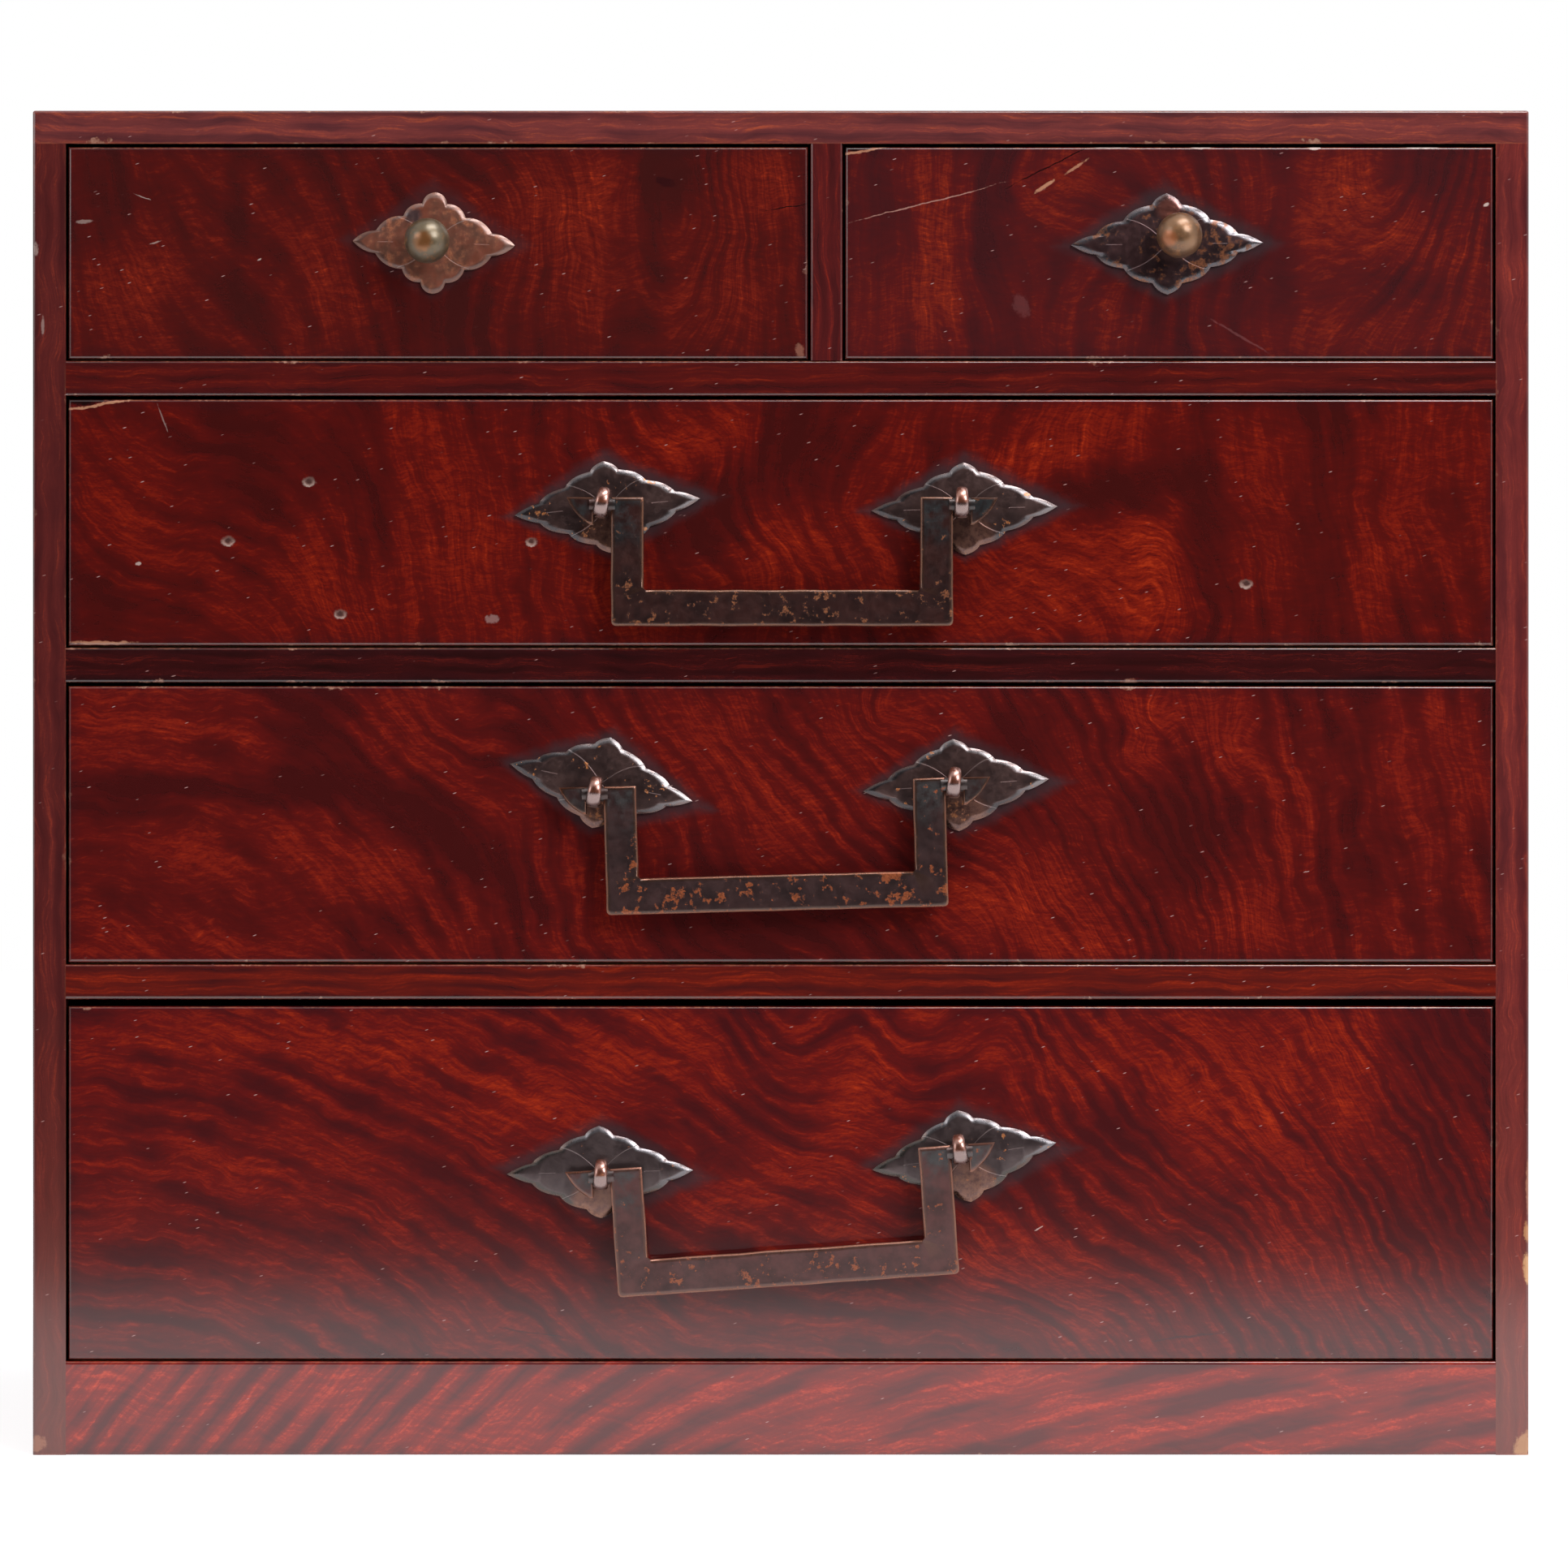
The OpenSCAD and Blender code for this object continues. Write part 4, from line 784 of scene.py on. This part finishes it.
def uneven(shape, amount, size, seed, keep_back=None):
    """Moves each corner a little, as hammer and file leave it."""
    for v in shape.verts:
        if keep_back is not None and v.co.y > keep_back:
            continue
        p = v.co / (size * MM) + Vector((seed * 7.1, seed * 3.3, seed))
        v.co += noise.noise_vector(p) * amount * MM


def on_front(x, z, tilt):
    """Takes a piece made about its own middle to a place on the fronts, tilted in degrees."""
    return Matrix.Translation((x * MM, FRONT_Y, z * MM)) @ Matrix.Rotation(math.radians(-tilt), 4, "Y")


def block(shape, size, place):
    """A plain block about a place."""
    corners = bmesh.ops.create_cube(shape, size=1)["verts"]
    bmesh.ops.scale(shape, vec=[s * MM for s in size], verts=corners)
    bmesh.ops.translate(shape, vec=[p * MM for p in place], verts=corners)
    return corners


def flower_plate(name, node, body, centre, turn, wide, tall, kind, finish, seed, rim=1.5):
    """A flower-diamond plate, cut by hand from sheet with a filed rim."""
    a, c = wide / 2, tall / 2
    side = lobed_side(a, c, *kind)
    ring = side + [Vector((a, 0))]
    ring += [Vector((p.x, -p.y)) for p in reversed(side)]
    ring += [Vector((-p.x, -p.y)) for p in side[1:]] + [Vector((-a, 0))]
    ring += [Vector((-p.x, p.y)) for p in reversed(side[1:])]
    shape = bmesh.new()
    rimmed_slab(shape, [(p.x, p.y) for p in ring], PLATE_T, 0.0, [share * rim for share in RIM_SHARES],
                RIM_LOWS, to_heart(0, 0, a * c / math.hypot(a, c)))
    uneven(shape, 0.14, 6.0, seed, keep_back=-0.0002)
    bmesh.ops.transform(shape, matrix=on_front(*centre, turn), verts=shape.verts)
    o = piece(name, shape, finish, body)
    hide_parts(node)
    return o


# A knob: how far it stands out, its ball, neck and collar, its shank through a front, and its split ends
KNOB_REACH, KNOB_R, NECK_R, COLLAR_R, COLLAR_T = 13.6, 5.45, 2.4, 3.6, 0.9
SHANK_R, FRONT_T, SPLIT_L, SPLIT_T, SPLIT_W = 1.6, 12.0, 8, 1.3, 3.0
BALL_STEPS, TURN_STEPS, CORNER_STEPS = 16, 40, 3


def knob(name, node, body, x, z, finish, seed):
    """A turned ball on a collared neck, with its split shank clinched behind the front."""
    ball = KNOB_REACH - KNOB_R
    collar_top = PLATE_T + COLLAR_T
    profile = [(SHANK_R, -FRONT_T), (SHANK_R, PLATE_T), (COLLAR_R, PLATE_T),
               (COLLAR_R, PLATE_T + COLLAR_T * 0.6), (COLLAR_R - 0.5, collar_top),
               (NECK_R + 0.35, collar_top + 0.05), (NECK_R, collar_top + 0.5)]
    start = math.asin(NECK_R / KNOB_R)
    for k in range(BALL_STEPS + 1):
        t = start + (math.pi - start) * k / BALL_STEPS
        profile.append((KNOB_R * math.sin(t), ball - KNOB_R * math.cos(t)))
    profile = [(max(r, 0.0), h) for r, h in profile]
    shape = bmesh.new()
    rim = shape.verts.layers.float.new("rim")
    shape.loops.layers.uv.new("flat")
    line = [shape.verts.new((r * MM, -h * MM, 0)) for r, h in [(0, -FRONT_T)] + profile]
    edges = [shape.edges.new(pair) for pair in zip(line, line[1:])]
    bmesh.ops.spin(shape, geom=line + edges, cent=(0, 0, 0), axis=(0, 1, 0), angle=2 * math.pi,
                   steps=TURN_STEPS, use_merge=True)
    for v in shape.verts:
        v[rim] = 1.0
    uneven(shape, 0.1, 3.5, seed, keep_back=-0.004)
    places_on_face(shape)
    for way in (-1, 1):
        leg = block(shape, (SPLIT_L, SPLIT_T, SPLIT_W), (way * SPLIT_L / 2, FRONT_T + SPLIT_T / 2, 0))
        for v in leg:
            v[rim] = 0.6
    bmesh.ops.translate(shape, vec=(x * MM, FRONT_Y, z * MM), verts=shape.verts)
    o = piece(name, shape, finish, body, angle=50)
    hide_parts(node)
    return o


# A bail: its width, drop under its eyes, thickness, arms and lower bar, and the arms' rise over the eyes
BAIL_W, BAIL_DROP, BAIL_T, ARM_W, BAR_H, ARM_RISE = 82.0, 29.1, 2.5, 7.8, 8.6, 1.75
# An eye pin: its eye, its strap, the eye's reach from the front, the neck's sag in it, its legs and ends
EYE_R, STRAP_T, STRAP_W, EYE_REACH, NECK_SAG, LEG_T, CLINCH_L = 3.8, 1.45, 3.8, 5.0, 0.55, 1.3, 8.0
# A bail's necks and their pointed ends
NECK_L, TIP_L, TIP_H, BAIL_NECK_R, TIP_STEPS = 4.2, 6.5, 6.6, 1.75, 6
EYE_X = (BAIL_W + NECK_L) / 2


def rounded(corners, radii):
    """The outline through some corners, each rounded by its own radius."""
    points = []
    for k, (corner, r) in enumerate(zip(corners, radii)):
        at = Vector(corner)
        back = (Vector(corners[k - 1]) - at).normalized()
        ahead = (Vector(corners[(k + 1) % len(corners)]) - at).normalized()
        p, q = at + back * r, at + ahead * r
        for s in range(CORNER_STEPS + 1):
            t = s / CORNER_STEPS
            points.append(p * (1 - t) ** 2 + at * (2 * t * (1 - t)) + q * t ** 2)
    return points


def spaced(points, step):
    """The same closed outline with points at least every step."""
    made = []
    for k, p in enumerate(points):
        q = points[(k + 1) % len(points)]
        n = max(1, int((q - p).length / step))
        made += [p.lerp(q, s / n) for s in range(n)]
    return made


def bail(drawer, x, z, tilt, finish, seed):
    """A flat square bail, its edges rounded by wear, with round necks and pointed ends."""
    w, inner = BAIL_W / 2, BAIL_W / 2 - ARM_W
    corners = [(-w, ARM_RISE), (-w, -BAIL_DROP), (w, -BAIL_DROP), (w, ARM_RISE), (inner, ARM_RISE),
               (inner, -BAIL_DROP + BAR_H), (-inner, -BAIL_DROP + BAR_H), (-inner, ARM_RISE)]
    loop = spaced(rounded(corners, (0.3, 1.3, 1.3, 0.3, 0.3, 0.6, 0.6, 0.3)), 2.5)
    shape = bmesh.new()
    middle = BAIL_T / 2 - EYE_REACH
    steps, lows = (0.25, 0.35, 0.5), (0.42, 0.12, 0.0, 0.0)

    def inwards(x, z, before, gone):
        # Arms and bar narrow towards their middle lines, and the arms' ends come down
        keep = (ARM_W / 2 - gone) / (ARM_W / 2 - before), (BAR_H / 2 - gone) / (BAR_H / 2 - before)
        across, along = abs(x) > inner - 0.001, z < BAR_H - BAIL_DROP + 0.001
        if z > ARM_RISE - before - 0.5:
            z -= gone - before
        if across:
            mid = math.copysign(w - ARM_W / 2, x)
            x = mid + (x - mid) * keep[0]
        if along:
            mid = BAR_H / 2 - BAIL_DROP
            z = mid + (z - mid) * keep[1]
        return x, z
    rimmed_slab(shape, loop, BAIL_T, middle, steps, lows, inwards, back_rim=True)
    tip_x = BAIL_W / 2 + NECK_L
    for way in (-1, 1):
        low = Vector((tip_x + 0.7, ARM_RISE - TIP_H))
        far = Vector((tip_x + TIP_L, ARM_RISE))
        under = []
        for k in range(1, TIP_STEPS):
            t = k / TIP_STEPS
            under.append(low.lerp(far, t) + Vector((0.6, -0.7)) * (4 * 0.9 * t * (1 - t)))
        end = [Vector((tip_x, ARM_RISE)), Vector((tip_x, ARM_RISE - TIP_H)), low] + under + [far]
        rimmed_slab(shape, [(p.x * way, p.y) for p in end], BAIL_T, middle, (0.15, 0.25, 0.3), lows,
                    to_heart((tip_x + 2.1) * way, ARM_RISE - 2.2, 2.1), back_rim=True)
    rim = shape.verts.layers.float["rim"]
    for way in (-1, 1):
        neck = bmesh.ops.create_cone(shape, cap_ends=True, segments=24, radius1=BAIL_NECK_R * MM,
                                     radius2=BAIL_NECK_R * MM, depth=(NECK_L + 2) * MM)["verts"]
        bmesh.ops.rotate(shape, cent=(0, 0, 0), matrix=Matrix.Rotation(math.pi / 2, 3, "Y"), verts=neck)
        bmesh.ops.translate(shape, vec=(way * EYE_X * MM, -EYE_REACH * MM, 0), verts=neck)
        for v in neck:
            v[rim] = 0.8
    uneven(shape, 0.13, 7.0, seed)
    bmesh.ops.transform(shape, matrix=on_front(x, z, tilt), verts=shape.verts)
    o = piece(drawer + "_bail_loop", shape, finish, drawer + "_bail_loop")
    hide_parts(drawer + "_bail")
    return o


def eye_pin(name, drawer, x, z, tilt, way, lean, finish, seed):
    """A split pin bent from strap: its eye, its legs through the front and its clinched ends."""
    shape = bmesh.new()
    rim = shape.verts.layers.float.new("rim")
    shape.loops.layers.uv.new("flat")
    inner, half = EYE_R - STRAP_T + 0.15, STRAP_W / 2
    crown = [(-half, inner + 0.25), (-half + 0.25, inner), (half - 0.25, inner), (half, inner + 0.25),
             (half, EYE_R - 0.7), (half - 0.35, EYE_R - 0.3), (half - 0.9, EYE_R - 0.1), (0, EYE_R),
             (-half + 0.9, EYE_R - 0.1), (-half + 0.35, EYE_R - 0.3), (-half, EYE_R - 0.7)]
    section = [shape.verts.new((u * MM, 0, r * MM)) for u, r in crown]
    ends = [shape.edges.new(pair) for pair in zip(section, section[1:] + section[:1])]
    bmesh.ops.spin(shape, geom=section + ends, cent=(0, 0, 0), axis=(1, 0, 0), angle=2 * math.pi,
                   steps=TURN_STEPS, use_merge=True)
    for v in shape.verts:
        v.co.x *= 0.85 - 0.13 * v.co.z / (EYE_R * MM)
    places_on_face(shape)
    leaning = Matrix.Rotation(math.radians(lean), 3, "Y")
    bmesh.ops.rotate(shape, cent=(0, 0, 0), matrix=leaning, verts=shape.verts)
    bmesh.ops.translate(shape, vec=(0, -EYE_REACH * MM, 0), verts=shape.verts)
    uneven(shape, 0.06, 2.5, seed)
    long = FRONT_T + EYE_REACH - inner - 0.25 + LEG_T
    for side in (-1, 1):
        block(shape, (STRAP_W, long, LEG_T - 0.02), (0, FRONT_T + LEG_T - long / 2, side * LEG_T / 2))
        block(shape, (STRAP_W, LEG_T, CLINCH_L - LEG_T),
              (0, FRONT_T + LEG_T / 2, side * (LEG_T + CLINCH_L) / 2))
    for v in shape.verts:
        v[rim] = 0.9
    place = on_front(x, z, tilt) @ Matrix.Translation((way * EYE_X * MM, 0, NECK_SAG * MM))
    bmesh.ops.transform(shape, matrix=place, verts=shape.verts)
    o = piece(name, shape, finish, drawer + "_drawer", angle=45)
    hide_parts(drawer + "_eye_pins")
    return o


POINTED_LINES, ROUND_LINES = (22.4 * 0.42, 11.1 * 0.56), (19.5 * 0.44, 12.1 * 0.5)
varnish = dict(Coat_Weight=0.35, Coat_IOR=1.6, Coat_Roughness=0.25)
plate_look = dict(varnish, lines=POINTED_LINES, bare=-0.02, edges=0.4)
bail_look = dict(varnish, edges=0.9, rough=0.42, soft=0.04, steady=0.8)
bronze_look = dict(varnish, metal=0.6, edges=0.0, dents=0.8, bare=0.06, soft=0.12, crumb=0.6)
# In the plate finishes, dull is painted shade on the rims away from the upper right, and the rim's polish
# colour is also its painted highlight on the upper right
red_copper = aged_metal("red_copper_patina", "#763d2b", "#5c3a2d", warm="#7e4127", bright="#905638",
                        rim_polish_and_highlight="#765a52", dull="#4c3028", bare=0.06, soft=0.16, metal=0.5, rough=0.46,
                        lines=ROUND_LINES, edges=0.15, crumb=0.5, blot=(-5.0, 6.5, 2.2, "#33262a"),
                        **varnish)
plate_copper = aged_metal("plate_patina", "#563f3c", "#3e2d2c", rim_polish_and_highlight="#706a6c", brown="#5e3624",
                          under=0.4, **plate_look)
stained_copper = aged_metal("stained_plate_patina", "#4e4040", "#3e3132", rim_polish_and_highlight="#6c686c",
                            dull="#38332f", brown="#5a3422", under=0.5, **plate_look)
spotted_copper = aged_metal("spotted_plate_patina", "#4a3031", "#35272a", warm="#56301f",
                            bright="#7c4a2c", rim_polish_and_highlight="#6e6b70", dull="#403e43", bare=0.1, soft=0.08,
                            lines=POINTED_LINES, edges=0.2, crumb=0.55,
                            blot=(0.5, 8.5, 3.2, "#6e3c32"), **varnish)
bail_copper = aged_metal("bail_patina", "#3c1e1a", "#261413", warm="#60341e", bright="#8a5434",
                         rim_polish_and_highlight="#43291f", brown="#64391f", near_eyes="#31383a", bare=0.06, metal=0.7,
                         **bail_look)
flecked_copper = aged_metal("flecked_bail_patina", "#3e2726", "#2a1b1b", warm="#703516",
                            bright="#944c26", rim_polish_and_highlight="#40291f", brown="#6e3c22", near_eyes="#444444",
                            bare=0.08, metal=0.7, **bail_look)
dark_bail_copper = aged_metal("dark_bail_patina", "#553331", "#3a2524", warm="#7a3c22",
                              bright="#8e4f32", rim_polish_and_highlight="#56382f", brown="#7c4a34",
                              near_eyes="#434546", bare=0.06, metal=0.6, **bail_look)
eye_copper = aged_metal("eye_copper", "#8c4420", "#74361a", warm="#74361c", bright="#9c5c30",
                        rough=0.3, edges=0.0, dents=0.4, floor_reflection="#5c3e3a", Coat_Weight=1.0,
                        Coat_IOR=2.0, Coat_Roughness=0.25)
green_bronze = aged_metal("green_bronze", "#5e4f38", "#473c2c", warm="#6e482a", bright="#845a32",
                          rough=0.4, blot=(-0.9, -0.6, 2.5, "#7e4c22"), **bronze_look)
brown_bronze = aged_metal("brown_bronze", "#7a5638", "#5a402a", warm="#78482a", bright="#98683e",
                          rough=0.38, blot=(-2.6, -0.9, 2.1, "#94532a"), **bronze_look)

KNOBS = {"upper_left": (-84.65, 291.5), "upper_right": (95.45, 292.8)}
(left_x, left_z), (right_x, right_z) = KNOBS.values()
flower_plate("upper_left_flower_plate", "upper_left_plate", "upper_left_drawer", (left_x + 1.2, left_z),
             -1.5, 39, 24.2, ROUND, red_copper, 1, rim=1.4)
flower_plate("upper_right_flower_plate", "upper_right_plate", "upper_right_drawer",
             (right_x - 2.6, right_z - 1.5), 0.7, 46.2, 24.3, POINTED, spotted_copper, 2, rim=1.8)
knob("upper_left_ball_knob", "upper_left_knob", "upper_left_drawer", left_x, left_z, green_bronze, 3)
knob("upper_right_ball_knob", "upper_right_knob", "upper_right_drawer", right_x, right_z, brown_bronze, 4)

# Each bail's pivot and tilt, and for each of its plates: place from the eye, and turn
BAILS = {
    "second": ((0.3, 228.45, 0), ((1.1, -0.4, 5.2), (0.8, -0.8, 1.4)), bail_copper, plate_copper),
    "third": ((-1.5, 160.15, 1.5), ((1.5, 2.7, -13), (0.6, -0.1, 2.3)), flecked_copper, plate_copper),
    "lowest": ((-0.1, 70.2, 4), ((-0.3, 0.95, -2.8), (1.1, -1.35, 4.5)), dark_bail_copper, stained_copper),
}
# How many degrees the left and the right eye pin of each bail lean
LEAN = {"second": (11, 1), "third": (9, 8), "lowest": (6, -3)}
for k, (drawer, ((x, z, tilt), plates, finish, plate_finish)) in enumerate(BAILS.items()):
    bail(drawer, x, z, tilt, finish, 10 + k)
    a = math.radians(tilt)
    for side, lean, (dx, dz, turn) in zip((-1, 1), LEAN[drawer], plates):
        hand = "left" if side < 0 else "right"
        u = side * EYE_X + dx
        at = (x + u * math.cos(a) - dz * math.sin(a), z + u * math.sin(a) + dz * math.cos(a))
        flower_plate(f"{drawer}_{hand}_flower_plate", drawer + "_plates", drawer + "_drawer", at, tilt + turn,
                     44.8, 22.2, SHALLOW, plate_finish, 20 + 2 * k + side)
        eye_pin(f"{drawer}_{hand}_split_pin", drawer, x, z, tilt, side, lean, eye_copper, 30 + 2 * k + side)


# Floor, room and lamps
FLOOR_GLOW, LAMPS_AIM = 0.7, Vector((0, -0.1, 0.16))


def sheet(name, x0, x1, y0, y1):
    """A level sheet of the stage, which isn't part of the object."""
    mesh = bpy.data.meshes.new(name)
    shape = bmesh.new()
    bmesh.ops.create_grid(shape, x_segments=1, y_segments=1, size=0.5)
    bmesh.ops.scale(shape, vec=(x1 - x0, y1 - y0, 1), verts=shape.verts)
    bmesh.ops.translate(shape, vec=((x0 + x1) / 2, (y0 + y1) / 2, 0), verts=shape.verts)
    shape.to_mesh(mesh)
    shape.free()
    o = bpy.data.objects.new(name, mesh)
    bpy.context.scene.collection.objects.link(o)
    return o


def seen_rays(tree):
    """1 for what the camera sees, straight or in gloss or through glass."""
    path = tree.nodes.new("ShaderNodeLightPath")
    total = path.outputs["Is Camera Ray"]
    for name in ("Is Glossy Ray", "Is Transmission Ray"):
        n = tree.nodes.new("ShaderNodeMath")
        n.operation = "MAXIMUM"
        tree.links.new(total, n.inputs[0])
        tree.links.new(path.outputs[name], n.inputs[1])
        total = n.outputs[0]
    return total


floor = sheet("floor", -2.5, 2.5, -0.6, 4.0)
paper = bpy.data.materials.new("pale_floor")
paper.use_nodes = True
tree = paper.node_tree
matt = tree.nodes["Principled BSDF"]
matt.inputs["Base Color"].default_value = (0.8, 0.8, 0.8, 1)
matt.inputs["Roughness"].default_value = 0.9
matt.inputs["Specular IOR Level"].default_value = 0.1
lift = tree.nodes.new("ShaderNodeEmission")
lift.inputs["Color"].default_value = (1, 1, 1, 1)
both = tree.nodes.new("ShaderNodeAddShader")
strength = tree.nodes.new("ShaderNodeMath")
strength.operation = "MULTIPLY"
tree.links.new(seen_rays(tree), strength.inputs[0])
strength.inputs[1].default_value = FLOOR_GLOW
tree.links.new(strength.outputs[0], lift.inputs["Strength"])
tree.links.new(matt.outputs[0], both.inputs[0])
tree.links.new(lift.outputs[0], both.inputs[1])
tree.links.new(both.outputs[0], tree.nodes["Material Output"].inputs["Surface"])
floor.data.materials.append(paper)

world = bpy.data.worlds.new("room")
bpy.context.scene.world = world
world.use_nodes = True
tree = world.node_tree
air = tree.nodes["Background"]
air.inputs["Strength"].default_value = 1
pick = tree.nodes.new("ShaderNodeMix")
pick.data_type = "RGBA"
sockets = [s for s in pick.inputs if s.enabled]
tree.links.new(seen_rays(tree), sockets[0])
sockets[1].default_value = (0.32, 0.32, 0.33, 1)
sockets[2].default_value = (1, 1, 1, 1)
tree.links.new([s for s in pick.outputs if s.enabled][0], air.inputs["Color"])

# A dark cloth behind the camera, so that the lacquer isn't washed out
cloth = sheet("dark_cloth", -3.2, 3.2, -2.0, 2.6)
cloth.data.transform(Matrix.Translation((0, -2.9, 0.6)) @ Matrix.Rotation(math.radians(90), 4, "X"))
cloth.visible_camera = False
cloth.visible_diffuse = False
cloth.visible_shadow = False
soot = bpy.data.materials.new("dark_cloth")
soot.use_nodes = True
fabric = soot.node_tree.nodes["Principled BSDF"]
fabric.inputs["Base Color"].default_value = (0.012, 0.012, 0.013, 1)
fabric.inputs["Roughness"].default_value = 1.0
fabric.inputs["Specular IOR Level"].default_value = 0.0
cloth.data.materials.append(soot)


def lamp(name, place, wide, tall, power):
    """A rectangular soft light that faces the chest."""
    data = bpy.data.lights.new(name, "AREA")
    data.shape = "RECTANGLE"
    data.size, data.size_y = wide, tall
    data.energy = power
    o = bpy.data.objects.new(name, data)
    bpy.context.scene.collection.objects.link(o)
    o.location = place
    o.rotation_euler = (LAMPS_AIM - Vector(place)).to_track_quat("-Z", "Y").to_euler()


lamp("softbox_right", (1.15, -1.35, 1.25), 0.9, 0.9, 34)
lamp("softbox_left", (-1.5, -1.2, 0.9), 1.0, 1.0, 9)
lamp("softbox_top", (0.45, -0.5, 1.7), 1.1, 0.5, 20)
